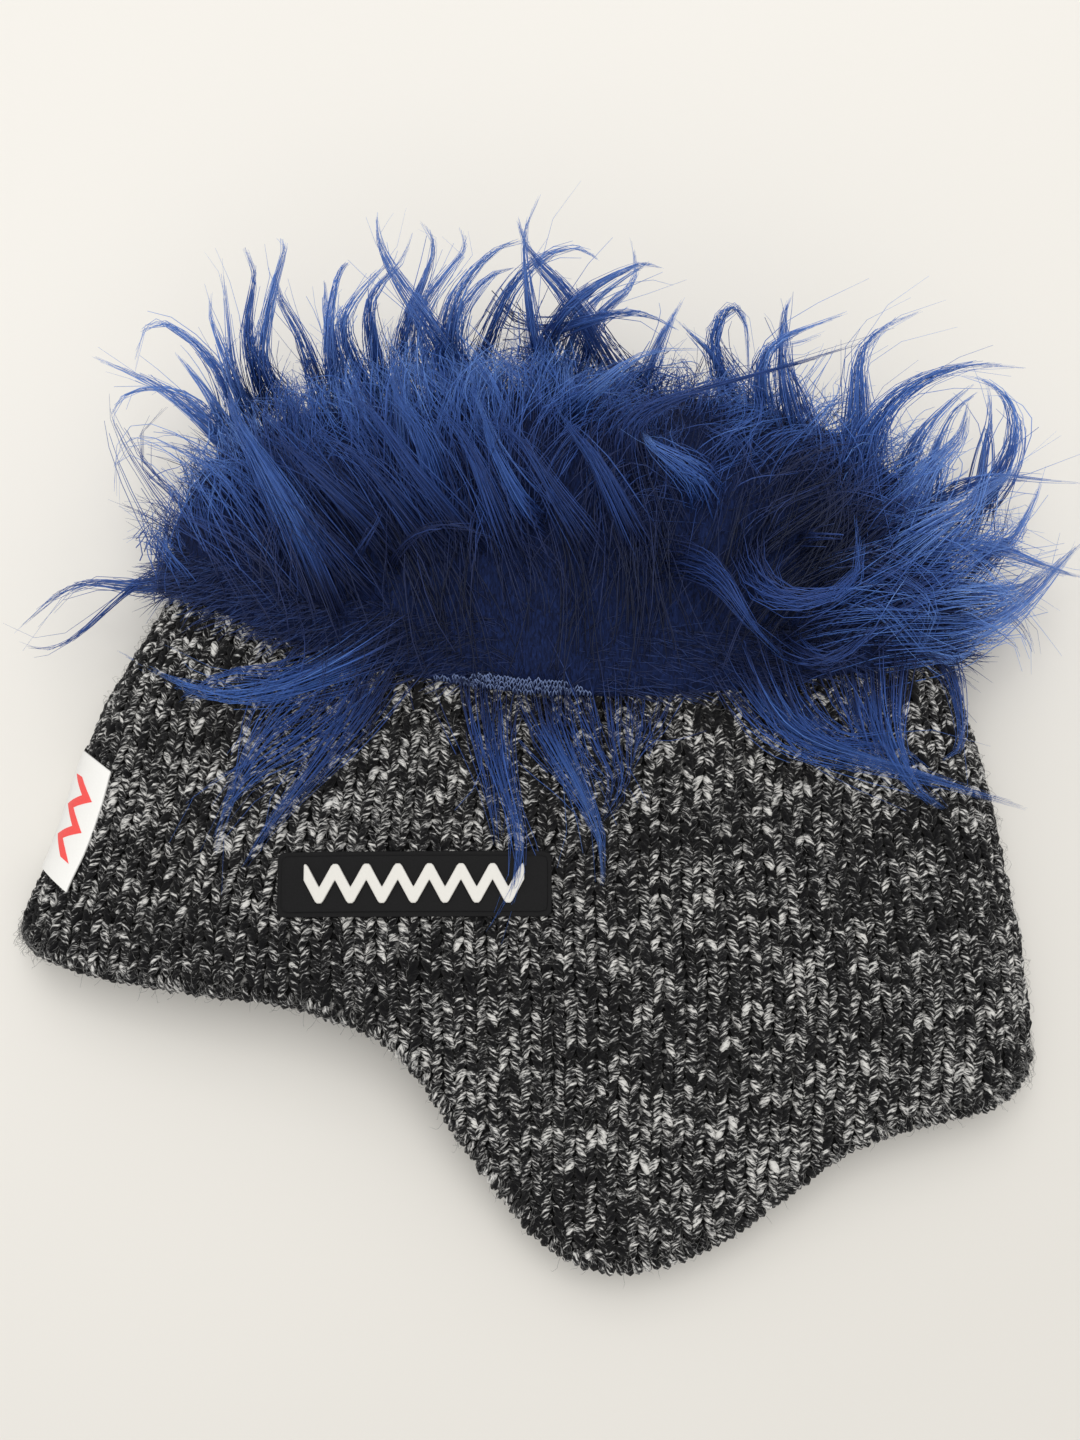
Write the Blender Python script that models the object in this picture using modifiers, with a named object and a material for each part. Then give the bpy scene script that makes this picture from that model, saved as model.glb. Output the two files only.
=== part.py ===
"""A knitted cap with ear flaps and a long-haired fur crown, lying on its side.

Metres, +Z up. The floor is z = 0. The front fold of the cap is at -X, the back fold at +X and the top
of the crown at +Y. The origin is on the floor under the middle of the band.
"""
import math
import random

import bmesh
import bpy
from mathutils import Vector

# The knitted cap, as it lies
HALF_SPAN = 0.130
CROWN_TOP = 0.113
FLAP_DROP = 0.1175
FRONT_FOLD_END = -0.027
BACK_FOLD_END = -0.060
FRONT_CORNER, BACK_CORNER = 0.045, 0.060
LOWER_SIDE_SETBACK = 0.009
KNIT_WALL = 0.004
HEM_ROUNDING = 0.0012

# How thick the cap lies
FOLD_ROLL = 0.014
ROLL_SHARE = 0.45
BULGE_POWER = 2.2
CROWN_NOSE = 0.040
BRIM_FOLD_HEIGHT = 0.0075
CROWN_FOLD_HALF = 0.0095
FLAP_TIP_HEIGHT = 0.0145
BAND_LOW, BAND_HEIGHT = 0.0375, 0.030
CROWN_THICKEST, CROWN_HEIGHT = 0.7, 0.052
LIFT_START, LIFT_END = 0.016, 0.040

# The fur crown
FIT_GAP = 0.0003
PILE = 0.0095
PILE_RIM_SHARE, PILE_FULL_AT = 0.36, 0.32
RIM_FRONT, RIM_BACK = 0.060, 0.042
RIM_DIP = 0.024
LOCK_GIRTH = 0.0048
LOCK_ROOT_SHARE, LOCK_TIP_SHARE = 0.55, 0.10
LOCK_FULL_AT = 0.3
LOCK_DEPTH = 0.62
LOCK_STEPS = 7
LOCK_CLEARANCE = 0.0012
LOWER_LOCKS = 12
LOWER_LOCK_LENGTH, LOWER_LOCK_GIRTH = 0.040, 0.0043
LOWER_LOCK_RISE, LOWER_LOCK_BOW = 0.15, 0.15

# The patch and the tag
PATCH_LEFT, PATCH_WIDTH = -0.067, 0.070
PATCH_BOTTOM, PATCH_DEPTH = -0.0285, 0.0165
PATCH_THICKNESS = 0.0012
BEAD_RADIUS = 0.0009
ZIGZAG_PEAKS = 7
ZIGZAG_WIDTH, ZIGZAG_DEPTH = 0.056, 0.0085
TAG_BOTTOM, TAG_LENGTH = -0.0125, 0.031
TAG_NEAR_WIDTH, TAG_FAR_WIDTH = 0.013, 0.0055
# How much lower the tag's near edge sits than its fold, as it lies askew
TAG_SKEW = 0.0085
TAG_THICKNESS = 0.0009

# How finely the cloth is divided
COLUMNS_PER_SIDE = 25
BAND_ROWS = 9
CROWN_ROWS = 7
FOLD_CROWDING = 0.75

# Where the folds lie. From_top is the square root of the distance below CROWN_TOP, as a share of
# CROWN_TOP. Front and back are shares of HALF_SPAN.
FOLDS = (
    # from_top, front, back
    (0.000, 0.000, 0.000),
    (0.163, 0.340, 0.370),
    (0.249, 0.505, 0.520),
    (0.388, 0.660, 0.672),
    (0.530, 0.722, 0.772),
    (0.639, 0.752, 0.825),
    (0.713, 0.796, 0.850),
    (0.779, 0.846, 0.864),
    (0.840, 0.894, 0.878),
    (0.896, 0.931, 0.899),
    (0.948, 0.959, 0.924),
    (0.997, 0.981, 0.940),
    (1.044, 1.009, 0.952),
    (1.089, 1.045, 0.965),
    (1.131, 1.062, 0.979),
    (1.210, 1.062, 0.986),
    (1.300, 1.062, 0.986),
)

# The brim's edge before its corners are rounded: across from the front fold to the back one, and the
# drop as a share of FLAP_DROP.
BRIM = (
    # across, drop
    (0.000, 0.300),
    (0.044, 0.326),
    (0.071, 0.349),
    (0.100, 0.366),
    (0.150, 0.386),
    (0.200, 0.406),
    (0.250, 0.419),
    (0.290, 0.437),
    (0.320, 0.460),
    (0.345, 0.478),
    (0.370, 0.508),
    (0.390, 0.547),
    (0.414, 0.612),
    (0.438, 0.695),
    (0.461, 0.766),
    (0.485, 0.835),
    (0.510, 0.897),
    (0.533, 0.940),
    (0.556, 0.964),
    (0.585, 0.979),
    (0.610, 0.978),
    (0.650, 0.957),
    (0.700, 0.905),
    (0.750, 0.829),
    (0.800, 0.751),
    (0.850, 0.700),
    (0.900, 0.671),
    (0.950, 0.645),
    (1.000, 0.620),
)

# Dents in the upper side. Across and up are shares of HALF_SPAN and CROWN_TOP, length and width
# shares of HALF_SPAN, depth a share of KNIT_WALL.
DENTS = (
    # across, up, length, width, depth
    (0.42, -0.02, 0.46, 0.085, 0.85),
    (-0.38, 0.10, 0.26, 0.075, 0.55),
    (0.10, -0.55, 0.20, 0.070, 0.40),
    (-0.70, -0.22, 0.16, 0.060, 0.35),
)

# Locks that show. Across is the share of the way from the front fold to the back fold, up the share of
# the way from the fur's rim to the top of the crown. The tip's place is in shares of HALF_SPAN from the
# origin. Aside and arch are how far the lock bows to its right and upwards, as shares of its length,
# and girth is a share of LOCK_GIRTH.
LOCKS = (
    # across, up, tip_x, tip_y, tip_z, aside, arch, girth
    (0.02, 0.56, -0.931, 0.954, 0.292, -0.10, 0.10, 1.00),
    (0.02, 0.70, -0.795, 0.876, 0.385, 0.12, 0.10, 0.90),
    (0.02, 0.74, -0.744, 0.983, 0.346, -0.12, 0.10, 1.00),
    (0.04, 0.80, -0.619, 1.146, 0.369, -0.10, 0.08, 1.00),
    (0.06, 0.85, -0.563, 1.234, 0.308, -0.12, 0.08, 1.05),
    (0.10, 0.89, -0.385, 1.091, 0.423, 0.14, 0.08, 1.10),
    (0.14, 0.93, -0.335, 1.246, 0.346, 0.16, 0.08, 1.10),
    (0.22, 0.95, -0.177, 1.179, 0.385, 0.10, 0.08, 1.10),
    (0.40, 0.80, -0.041, 1.154, 0.477, 0.16, 0.10, 1.15),
    (0.30, 0.88, -0.262, 1.215, 0.520, -0.14, 0.10, 1.10),
    (0.36, 0.60, -0.290, 0.870, 0.640, 0.12, 0.14, 1.40),
    (0.44, 0.95, -0.006, 1.290, 0.308, -0.14, 0.08, 1.05),
    (0.52, 0.89, 0.115, 1.100, 0.423, 0.14, 0.08, 1.10),
    (0.54, 0.74, 0.246, 1.027, 0.508, 0.18, 0.10, 1.10),
    (0.58, 0.92, 0.170, 1.165, 0.400, 0.12, 0.10, 1.05),
    (0.64, 0.89, 0.251, 0.976, 0.385, 0.10, 0.08, 1.00),
    (0.68, 0.85, 0.377, 1.016, 0.369, -0.20, 0.10, 1.00),
    (0.84, 0.93, 0.457, 1.027, 0.308, 0.16, 0.08, 1.00),
    (0.84, 0.81, 0.470, 0.947, 0.477, -0.14, 0.10, 1.00),
    (0.94, 0.87, 0.547, 1.088, 0.292, 0.12, 0.08, 1.00),
    (0.92, 0.76, 0.666, 0.961, 0.354, -0.12, 0.10, 1.05),
    (0.92, 0.64, 0.789, 1.042, 0.308, -0.16, 0.10, 1.10),
    (0.92, 0.52, 0.878, 0.840, 0.446, -0.22, 0.12, 1.15),
    (0.94, 0.47, 1.007, 0.907, 0.308, -0.14, 0.10, 1.10),
    (0.94, 0.39, 0.914, 0.700, 0.477, -0.24, 0.12, 1.10),
    (0.94, 0.33, 1.099, 0.657, 0.292, -0.12, 0.10, 1.15),
    (0.96, 0.23, 1.102, 0.529, 0.262, 0.12, 0.08, 1.20),
    (0.94, 0.17, 1.003, 0.403, 0.323, 0.12, 0.08, 1.20),
    (0.94, 0.10, 0.875, 0.317, 0.277, -0.06, 0.05, 0.90),
    (0.06, 0.08, -1.016, 0.446, 0.123, 0.10, 0.04, 0.80),
    (0.26, 0.08, -0.916, 0.372, 0.031, 0.16, 0.02, 1.00),
    (0.28, 0.06, -0.638, -0.080, 0.242, -0.12, 0.02, 1.00),
    (0.32, 0.08, -0.571, 0.008, 0.263, 0.10, 0.02, 0.90),
    (0.46, 0.02, -0.055, -0.074, 0.272, -0.08, 0.02, 0.80),
    (0.52, 0.02, 0.113, -0.136, 0.263, -0.14, 0.02, 0.90),
    (0.62, 0.02, 0.180, 0.093, 0.312, 0.05, 0.02, 0.80),
    (0.72, 0.14, 0.769, 0.036, 0.224, -0.16, 0.02, 1.20),
    (0.80, 0.12, 0.604, 0.087, 0.268, 0.10, 0.02, 0.90),
    (0.90, 0.08, 0.728, 0.139, 0.259, 0.08, 0.02, 0.80),
    (0.94, 0.04, 0.823, 0.126, 0.234, 0.10, 0.02, 0.80),
    (0.24, 0.14, -0.557, 0.683, 0.600, -0.10, 0.20, 1.50),
    (0.20, 0.25, -0.591, 0.546, 0.492, 0.14, 0.20, 1.30),
    (0.34, 0.33, -0.386, 0.620, 0.646, 0.12, 0.16, 1.40),
    (0.42, 0.23, -0.218, 0.605, 0.677, -0.12, 0.16, 1.40),
    (0.50, 0.37, -0.073, 0.665, 0.677, 0.12, 0.14, 1.40),
    (0.56, 0.21, 0.183, 0.560, 0.646, -0.16, 0.14, 1.40),
    (0.68, 0.25, 0.277, 0.607, 0.631, 0.16, 0.14, 1.30),
    (0.76, 0.37, 0.569, 0.643, 0.554, -0.24, 0.14, 1.30),
    (0.74, 0.25, 0.586, 0.418, 0.508, 0.30, 0.14, 1.30),
    (0.88, 0.21, 0.803, 0.505, 0.492, -0.16, 0.14, 1.30),
)
LOCK_SEED = 5


def smooth_step(share):
    """0 below 0, 1 above 1 and a smooth rise between."""
    share = min(1.0, max(0.0, share))
    return share * share * (3.0 - 2.0 * share)


def mix(first, second, share):
    return first + (second - first) * share


def quarter_round(share):
    """The height of a quarter circle of radius 1 at this share of its width, then level."""
    share = min(1.0, max(0.0, share))
    return math.sqrt(max(0.0, 1.0 - (1.0 - share) ** 2))


def value_between(rows, at, column):
    """The value of a column at this place in the table's first column, along a smooth curve."""
    last = len(rows) - 2
    i = min(last, max(0, sum(1 for row in rows if row[0] <= at) - 1))
    before, start, end, after = (rows[min(last + 1, max(0, k))] for k in (i - 1, i, i + 1, i + 2))
    width = end[0] - start[0]
    share = min(1.0, max(0.0, (at - start[0]) / width))
    first_slope = (end[column] - before[column]) / (end[0] - before[0]) * width
    last_slope = (after[column] - start[column]) / (after[0] - start[0]) * width
    square, cube = share * share, share ** 3
    held = (2.0 * cube - 3.0 * square + 1.0) * start[column] + (3.0 * square - 2.0 * cube) * end[column]
    return held + (cube - 2.0 * square + share) * first_slope + (cube - square) * last_slope


def front_x(y):
    from_top = math.sqrt(max(0.0, 1.0 - y / CROWN_TOP))
    return -HALF_SPAN * value_between(FOLDS, from_top, 1)


def back_x(y):
    from_top = math.sqrt(max(0.0, 1.0 - y / CROWN_TOP))
    return HALF_SPAN * value_between(FOLDS, from_top, 2)


def brim_y(across, far=False):
    """The brim's edge: a sloping band edge, the ear flap and a rounded corner at each fold."""
    drop = FLAP_DROP * value_between(BRIM, across, 1)
    drop = mix(-FRONT_FOLD_END, drop, quarter_round(across / FRONT_CORNER))
    drop = mix(-BACK_FOLD_END, drop, quarter_round((1.0 - across) / BACK_CORNER))
    if far:
        drop -= LOWER_SIDE_SETBACK * math.sin(math.pi * across)
    return -drop


def rim_y(across):
    """Where the fur begins."""
    return mix(RIM_FRONT, RIM_BACK, across) - RIM_DIP * math.sin(math.pi * across)


def dent_depth(x, y):
    depth = 0.0
    for across, up, length, width, share in DENTS:
        along = (x - across * HALF_SPAN) / (length * HALF_SPAN)
        aside = (y - up * CROWN_TOP) / (width * HALF_SPAN)
        depth += share * KNIT_WALL * math.exp(-along * along - aside * aside)
    return depth


def lift(y):
    """How high the fur under the crown holds the lower side off the floor."""
    return (PILE + FIT_GAP) * smooth_step((y - LIFT_START) / (LIFT_END - LIFT_START))


def fold_height(y):
    crown = PILE + FIT_GAP + CROWN_FOLD_HALF
    return mix(BRIM_FOLD_HEIGHT, crown, smooth_step((y - BACK_FOLD_END) / (CROWN_TOP - BACK_FOLD_END)))


def middle_height(y):
    """The top of the upper side, halfway between the folds."""
    flap = smooth_step((y + FLAP_DROP) / (FLAP_DROP - BAND_LOW))
    crown = smooth_step((y + BAND_LOW) / (BAND_LOW + CROWN_THICKEST * CROWN_TOP))
    return mix(mix(FLAP_TIP_HEIGHT, BAND_HEIGHT, flap), CROWN_HEIGHT, crown)


def cap_point(across, y, far=False):
    """A point of the cap's outer surface."""
    front, back = front_x(y), back_x(y)
    x = mix(front, back, across)
    roll = quarter_round(min(x - front, back - x) / FOLD_ROLL)
    nose = quarter_round((CROWN_TOP - y) / CROWN_NOSE)
    middle = fold_height(y)
    if far:
        return Vector((x, y, middle - (middle - lift(y)) * roll * nose))
    bulge = 1.0 - abs(2.0 * across - 1.0) ** BULGE_POWER
    swell = mix(bulge, roll, ROLL_SHARE) * nose
    z = middle + (middle_height(y) - middle) * swell - dent_depth(x, y) * roll * nose
    return Vector((x, y, z))


def upper_height(x, y):
    """The height of the cap's upper side over a point of the floor, or 0 outside it."""
    if y >= CROWN_TOP or not front_x(y) < x < back_x(y):
        return 0.0
    across = (x - front_x(y)) / (back_x(y) - front_x(y))
    if y < brim_y(across):
        return 0.0
    return cap_point(across, y).z


def column_shares():
    """Shares of the way from fold to fold, closer together at the folds, where the cloth turns."""
    shares = []
    for i in range(COLUMNS_PER_SIDE + 1):
        even = i / COLUMNS_PER_SIDE
        crowded = 0.5 - 0.5 * math.cos(math.pi * even)
        shares.append(mix(even, crowded, FOLD_CROWDING))
    return shares


def crown_share(row):
    """How far a row of the crown is from the fur's rim to the top."""
    return math.sin(0.5 * math.pi * (row - BAND_ROWS) / CROWN_ROWS)


def row_height(row, across, far):
    """The height of a row of the cloth: from the brim to the fur's rim, then to the top."""
    if row <= BAND_ROWS:
        return mix(brim_y(across, far), rim_y(across), row / BAND_ROWS)
    return mix(rim_y(across), CROWN_TOP, crown_share(row))


def pile_share(up):
    """The pelt's thickness as a share of PILE: thin at its rim."""
    return mix(PILE_RIM_SHARE, 1.0, min(1.0, up / PILE_FULL_AT))


def cloth_rings(first_row):
    """Closed rings of points round the cap, one for each row but the last, which is the top point."""
    shares = column_shares()
    rings = []
    for row in range(first_row, BAND_ROWS + CROWN_ROWS):
        near = [cap_point(a, row_height(row, a, False)) for a in shares]
        far = [cap_point(a, row_height(row, a, True), True) for a in shares[-2:0:-1]]
        rings.append(near + far)
    return rings


def cloth_mesh(name, rings):
    """An open surface through the rings, closed at the top of the crown, with its faces pointing out."""
    shape = bmesh.new()
    rows = [[shape.verts.new(point) for point in ring] for ring in rings]
    top = shape.verts.new(cap_point(0.5, CROWN_TOP))
    count = len(rings[0])
    for lower, upper in zip(rows, rows[1:]):
        for i in range(count):
            k = (i + 1) % count
            shape.faces.new((lower[i], lower[k], upper[k], upper[i]))
    for i in range(count):
        shape.faces.new((rows[-1][i], rows[-1][(i + 1) % count], top))
    shape.normal_update()
    mesh = bpy.data.meshes.new(name)
    shape.to_mesh(mesh)
    shape.free()
    return mesh


def material(name, color, roughness):
    finish = bpy.data.materials.new(name)
    finish.use_nodes = True
    shader = finish.node_tree.nodes["Principled BSDF"]
    shader.inputs["Base Color"].default_value = (*color, 1.0)
    shader.inputs["Roughness"].default_value = roughness
    shader.inputs["Metallic"].default_value = 0.0
    return finish


def add_object(name, mesh, finish, collection):
    thing = bpy.data.objects.new(name, mesh)
    collection.objects.link(thing)
    mesh.materials.clear()
    mesh.materials.append(finish)
    mesh.shade_smooth()
    return thing


def thicken(thing, thickness, outward=False, group=None, thin_share=0.0):
    wall = thing.modifiers.new("wall", "SOLIDIFY")
    wall.thickness = thickness
    wall.offset = 1.0 if outward else -1.0
    wall.use_even_offset = group is None
    if group is not None:
        wall.vertex_group = group
        wall.thickness_vertex_group = thin_share
    return wall


def make_knit_cap(collection):
    """One knitted piece: both sides, folded at the front and back, open at the brim."""
    finish = material("marled_knit", (0.075, 0.075, 0.08), 0.95)
    cap = add_object("knit_cap", cloth_mesh("knit_cap", cloth_rings(0)), finish, collection)
    thicken(cap, KNIT_WALL)
    edge = cap.modifiers.new("hem", "BEVEL")
    edge.width = HEM_ROUNDING
    edge.segments = 1
    edge.limit_method = "ANGLE"
    edge.angle_limit = math.radians(60)
    return cap


def make_pelt(collection):
    """The dense base of the fur: it follows the crown a gap away and thins at its rim."""
    finish = material("blue_fur", (0.02, 0.045, 0.16), 0.7)
    mesh = cloth_mesh("fur_crown", cloth_rings(BAND_ROWS))
    for vertex, normal in [(v, v.normal.copy()) for v in mesh.vertices]:
        vertex.co += normal * FIT_GAP
    pelt = add_object("fur_crown", mesh, finish, collection)
    ring = 2 * COLUMNS_PER_SIDE
    depth = pelt.vertex_groups.new(name="pile")
    for vertex in mesh.vertices:
        row = BAND_ROWS + vertex.index // ring
        depth.add([vertex.index], pile_share(crown_share(row)), "REPLACE")
    thicken(pelt, PILE, outward=True, group="pile")
    return pelt


def cover_height(x, y, radius):
    """The lowest height at which a lock of this radius clears the cap's upper side."""
    reach = radius + LOCK_CLEARANCE
    around = ((0, 0), (-1, 0), (1, 0), (0, -1), (0, 1), (-0.7, -0.7), (0.7, -0.7), (-0.7, 0.7), (0.7, 0.7))
    highest = max(upper_height(x + reach * i, y + reach * k) for i, k in around)
    return max(highest, FIT_GAP) + (reach if highest > 0.0 else radius)


def lock_radius(along):
    """A lock's radius, as a share of its girth: a slim root, a full body and a fine tip."""
    if along < LOCK_FULL_AT:
        return mix(LOCK_ROOT_SHARE, 1.0, math.sin(0.5 * math.pi * along / LOCK_FULL_AT))
    return mix(1.0, LOCK_TIP_SHARE, ((along - LOCK_FULL_AT) / (1.0 - LOCK_FULL_AT)) ** 1.3)


def lock_path(root, tip, aside, arch, girth, under=False):
    """Points and radii of a lock that bows evenly and stays off the cloth and the floor."""
    way = tip - root
    right = Vector((way.y, -way.x, 0.0))
    bow = root + 0.5 * way + aside * right + Vector((0.0, 0.0, arch * way.length))
    points, radii = [root], [girth * LOCK_ROOT_SHARE]
    for i in range(1, LOCK_STEPS + 1):
        along = i / LOCK_STEPS
        place = root.lerp(bow, along).lerp(bow.lerp(tip, along), along)
        radius = girth * lock_radius(along)
        place.z = max(place.z, radius if under else cover_height(place.x, place.y, radius))
        points.append(place)
        radii.append(radius)
    return points, radii


def lock_root(across, up, far=False):
    """A point inside the pelt's thickness."""
    y = mix(rim_y(across), CROWN_TOP, min(0.97, up))
    small = 0.002
    here = cap_point(across, y, far)
    aside = cap_point(min(1.0, across + small), y, far) - cap_point(max(0.0, across - small), y, far)
    along = cap_point(across, y + small, far) - cap_point(across, y - small, far)
    normal = aside.cross(along).normalized()
    if far:
        normal.negate()
    return here + normal * (FIT_GAP + LOCK_DEPTH * PILE * pile_share(up))


def all_locks():
    """The locks that show, then a ring of shorter ones round the lower side."""
    paths = []
    for across, up, tip_x, tip_y, tip_z, aside, arch, girth in LOCKS:
        tip = HALF_SPAN * Vector((tip_x, tip_y, tip_z))
        paths.append(lock_path(lock_root(across, up), tip, aside, arch, girth * LOCK_GIRTH))
    scatter = random.Random(LOCK_SEED)
    for i in range(LOWER_LOCKS):
        across = 0.04 + 0.92 * i / (LOWER_LOCKS - 1)
        root = lock_root(across, 0.80 - 0.45 * abs(2.0 * across - 1.0) ** 2, far=True)
        turn = math.radians(150.0 * (across - 0.5) + scatter.uniform(-12, 12))
        length = LOWER_LOCK_LENGTH * scatter.uniform(0.85, 1.15)
        tip = root + length * Vector((math.sin(turn), math.cos(turn), LOWER_LOCK_RISE))
        aside = scatter.uniform(-LOWER_LOCK_BOW, LOWER_LOCK_BOW)
        paths.append(lock_path(root, tip, aside, 0.0, LOWER_LOCK_GIRTH, under=True))
    return paths


def closed_mesh(curve_object):
    """A curve object as a mesh with its caps welded on."""
    graph = bpy.context.evaluated_depsgraph_get()
    mesh = bpy.data.meshes.new_from_object(curve_object.evaluated_get(graph))
    shape = bmesh.new()
    shape.from_mesh(mesh)
    bmesh.ops.remove_doubles(shape, verts=shape.verts, dist=1e-6)
    bmesh.ops.recalc_face_normals(shape, faces=shape.faces)
    shape.to_mesh(mesh)
    shape.free()
    return mesh


def tube(name, points, radii, collection, sides_resolution):
    """A round tube through the points as a mesh object."""
    curve = bpy.data.curves.new(name, "CURVE")
    curve.dimensions = "3D"
    curve.bevel_depth = 1.0
    curve.bevel_resolution = sides_resolution
    curve.use_fill_caps = True
    line = curve.splines.new("POLY")
    line.points.add(len(points) - 1)
    for point, place, radius in zip(line.points, points, radii):
        point.co = (*place, 1.0)
        point.radius = radius
    holder = bpy.data.objects.new(name, curve)
    collection.objects.link(holder)
    bpy.context.view_layer.update()
    mesh = closed_mesh(holder)
    bpy.data.objects.remove(holder)
    thing = bpy.data.objects.new(name, mesh)
    collection.objects.link(thing)
    return thing


def make_fur_crown(collection, helpers):
    """The pelt with every lock joined to it."""
    pelt = make_pelt(collection)
    for number, (points, radii) in enumerate(all_locks()):
        lock = tube("lock_%02d" % number, points, radii, helpers, 1)
        lock.hide_render = True
        lock.display_type = "WIRE"
    join = pelt.modifiers.new("locks", "BOOLEAN")
    join.operation = "UNION"
    join.operand_type = "COLLECTION"
    join.collection = helpers
    join.solver = "EXACT"
    return pelt


def grid_mesh(name, rows):
    """An open surface through rows of points."""
    shape = bmesh.new()
    grid = [[shape.verts.new(point) for point in row] for row in rows]
    for lower, upper in zip(grid, grid[1:]):
        for i in range(len(lower) - 1):
            shape.faces.new((lower[i], lower[i + 1], upper[i + 1], upper[i]))
    shape.normal_update()
    mesh = bpy.data.meshes.new(name)
    shape.to_mesh(mesh)
    shape.free()
    return mesh


def on_upper_side(x, y, height):
    return Vector((x, y, upper_height(x, y) + height))


def make_side_patch(collection):
    """A thin patch sewn to the band, near the front."""
    finish = material("patch_rubber", (0.012, 0.012, 0.014), 0.6)
    across, up = 10, 2
    rows = []
    for k in range(up + 1):
        y = PATCH_BOTTOM + PATCH_DEPTH * k / up
        places = [PATCH_LEFT + PATCH_WIDTH * i / across for i in range(across + 1)]
        rows.append([on_upper_side(x, y, 2 * FIT_GAP) for x in places])
    patch = add_object("side_patch", grid_mesh("side_patch", rows), finish, collection)
    thicken(patch, PATCH_THICKNESS, outward=True)
    return patch


def make_patch_zigzag(collection):
    """A raised bead that zigzags along the patch."""
    finish = material("white_rubber", (0.8, 0.8, 0.78), 0.5)
    middle_x = PATCH_LEFT + 0.5 * PATCH_WIDTH
    middle_y = PATCH_BOTTOM + 0.5 * PATCH_DEPTH
    over = 3 * FIT_GAP + PATCH_THICKNESS + BEAD_RADIUS
    corners = 2 * ZIGZAG_PEAKS
    points = []
    for i in range(2 * corners + 1):
        x = middle_x + ZIGZAG_WIDTH * (i / (2 * corners) - 0.5)
        y = middle_y + 0.5 * ZIGZAG_DEPTH * math.cos(0.5 * math.pi * i)
        points.append(on_upper_side(x, y, over))
    bead = tube("patch_zigzag", points, [BEAD_RADIUS] * len(points), collection, 1)
    bead.data.materials.clear()
    bead.data.materials.append(finish)
    bead.data.shade_smooth()
    return bead


def make_front_tag(collection):
    """A soft tag folded round the front fold of the band."""
    finish = material("tag_white", (0.82, 0.82, 0.80), 0.6)
    rows = []
    steps, ups = 6, 4
    for k in range(ups + 1):
        row = []
        for i in range(2 * steps + 1):
            share = abs(i - steps) / steps
            far = i > steps
            reach = (TAG_FAR_WIDTH if far else TAG_NEAR_WIDTH) * (1.0 - math.cos(0.5 * math.pi * share))
            slip = TAG_SKEW * reach / TAG_NEAR_WIDTH
            y = TAG_BOTTOM + TAG_LENGTH * k / ups + (slip if far else -slip)
            row.append(cap_point(reach / (back_x(y) - front_x(y)), y, far))
        rows.append(row)
    mesh = grid_mesh("front_tag", rows)
    for vertex, normal in [(v, v.normal.copy()) for v in mesh.vertices]:
        vertex.co -= normal * 2 * FIT_GAP
    mesh.flip_normals()
    tag = add_object("front_tag", mesh, finish, collection)
    thicken(tag, TAG_THICKNESS, outward=True)
    return tag


def new_collection(name):
    collection = bpy.data.collections.new(name)
    bpy.context.scene.collection.children.link(collection)
    return collection


def main():
    for thing in list(bpy.data.objects):
        bpy.data.objects.remove(thing)
    parts = new_collection("knit_cap_with_fur_crown")
    helpers = new_collection("fur_locks")
    make_knit_cap(parts)
    make_fur_crown(parts, helpers)
    make_side_patch(parts)
    make_patch_zigzag(parts)
    make_front_tag(parts)


main()
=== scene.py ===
"""A marled rib-knit cap with ear flaps and a long blue fur crown, lying on its side."""
import math

import bpy
import numpy as np
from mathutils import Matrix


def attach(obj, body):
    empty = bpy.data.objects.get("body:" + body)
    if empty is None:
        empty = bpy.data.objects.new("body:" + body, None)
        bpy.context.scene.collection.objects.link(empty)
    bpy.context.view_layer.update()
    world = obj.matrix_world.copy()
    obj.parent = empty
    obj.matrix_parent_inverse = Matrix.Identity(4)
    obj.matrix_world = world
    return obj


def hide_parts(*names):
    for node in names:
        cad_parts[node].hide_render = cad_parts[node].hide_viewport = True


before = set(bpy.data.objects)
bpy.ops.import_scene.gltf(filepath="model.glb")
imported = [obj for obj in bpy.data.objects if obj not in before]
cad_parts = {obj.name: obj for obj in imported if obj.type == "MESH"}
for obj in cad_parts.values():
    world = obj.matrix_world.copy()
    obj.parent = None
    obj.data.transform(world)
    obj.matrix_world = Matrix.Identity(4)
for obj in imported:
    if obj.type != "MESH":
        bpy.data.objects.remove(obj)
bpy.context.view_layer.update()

# The knitted cap, as it lies
HALF_SPAN = 0.130
CROWN_TOP = 0.113
FLAP_DROP = 0.1175
FRONT_FOLD_END = -0.027
BACK_FOLD_END = -0.060
FRONT_CORNER, BACK_CORNER = 0.045, 0.060
LOWER_SIDE_SETBACK = 0.009
KNIT_WALL = 0.004

# How thick the cap lies
FOLD_ROLL = 0.014
ROLL_SHARE = 0.45
BULGE_POWER = 2.2
CROWN_NOSE = 0.040
BRIM_FOLD_HEIGHT = 0.0075
CROWN_FOLD_HALF = 0.0095
FLAP_TIP_HEIGHT = 0.0145
BAND_LOW, BAND_HEIGHT = 0.0375, 0.030
CROWN_THICKEST, CROWN_HEIGHT = 0.7, 0.052
LIFT_START, LIFT_END = 0.016, 0.040

# The fur crown
FIT_GAP = 0.0003
PILE = 0.0095
PILE_RIM_SHARE, PILE_FULL_AT = 0.36, 0.32
RIM_FRONT, RIM_BACK = 0.060, 0.042
RIM_DIP = 0.024

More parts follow.
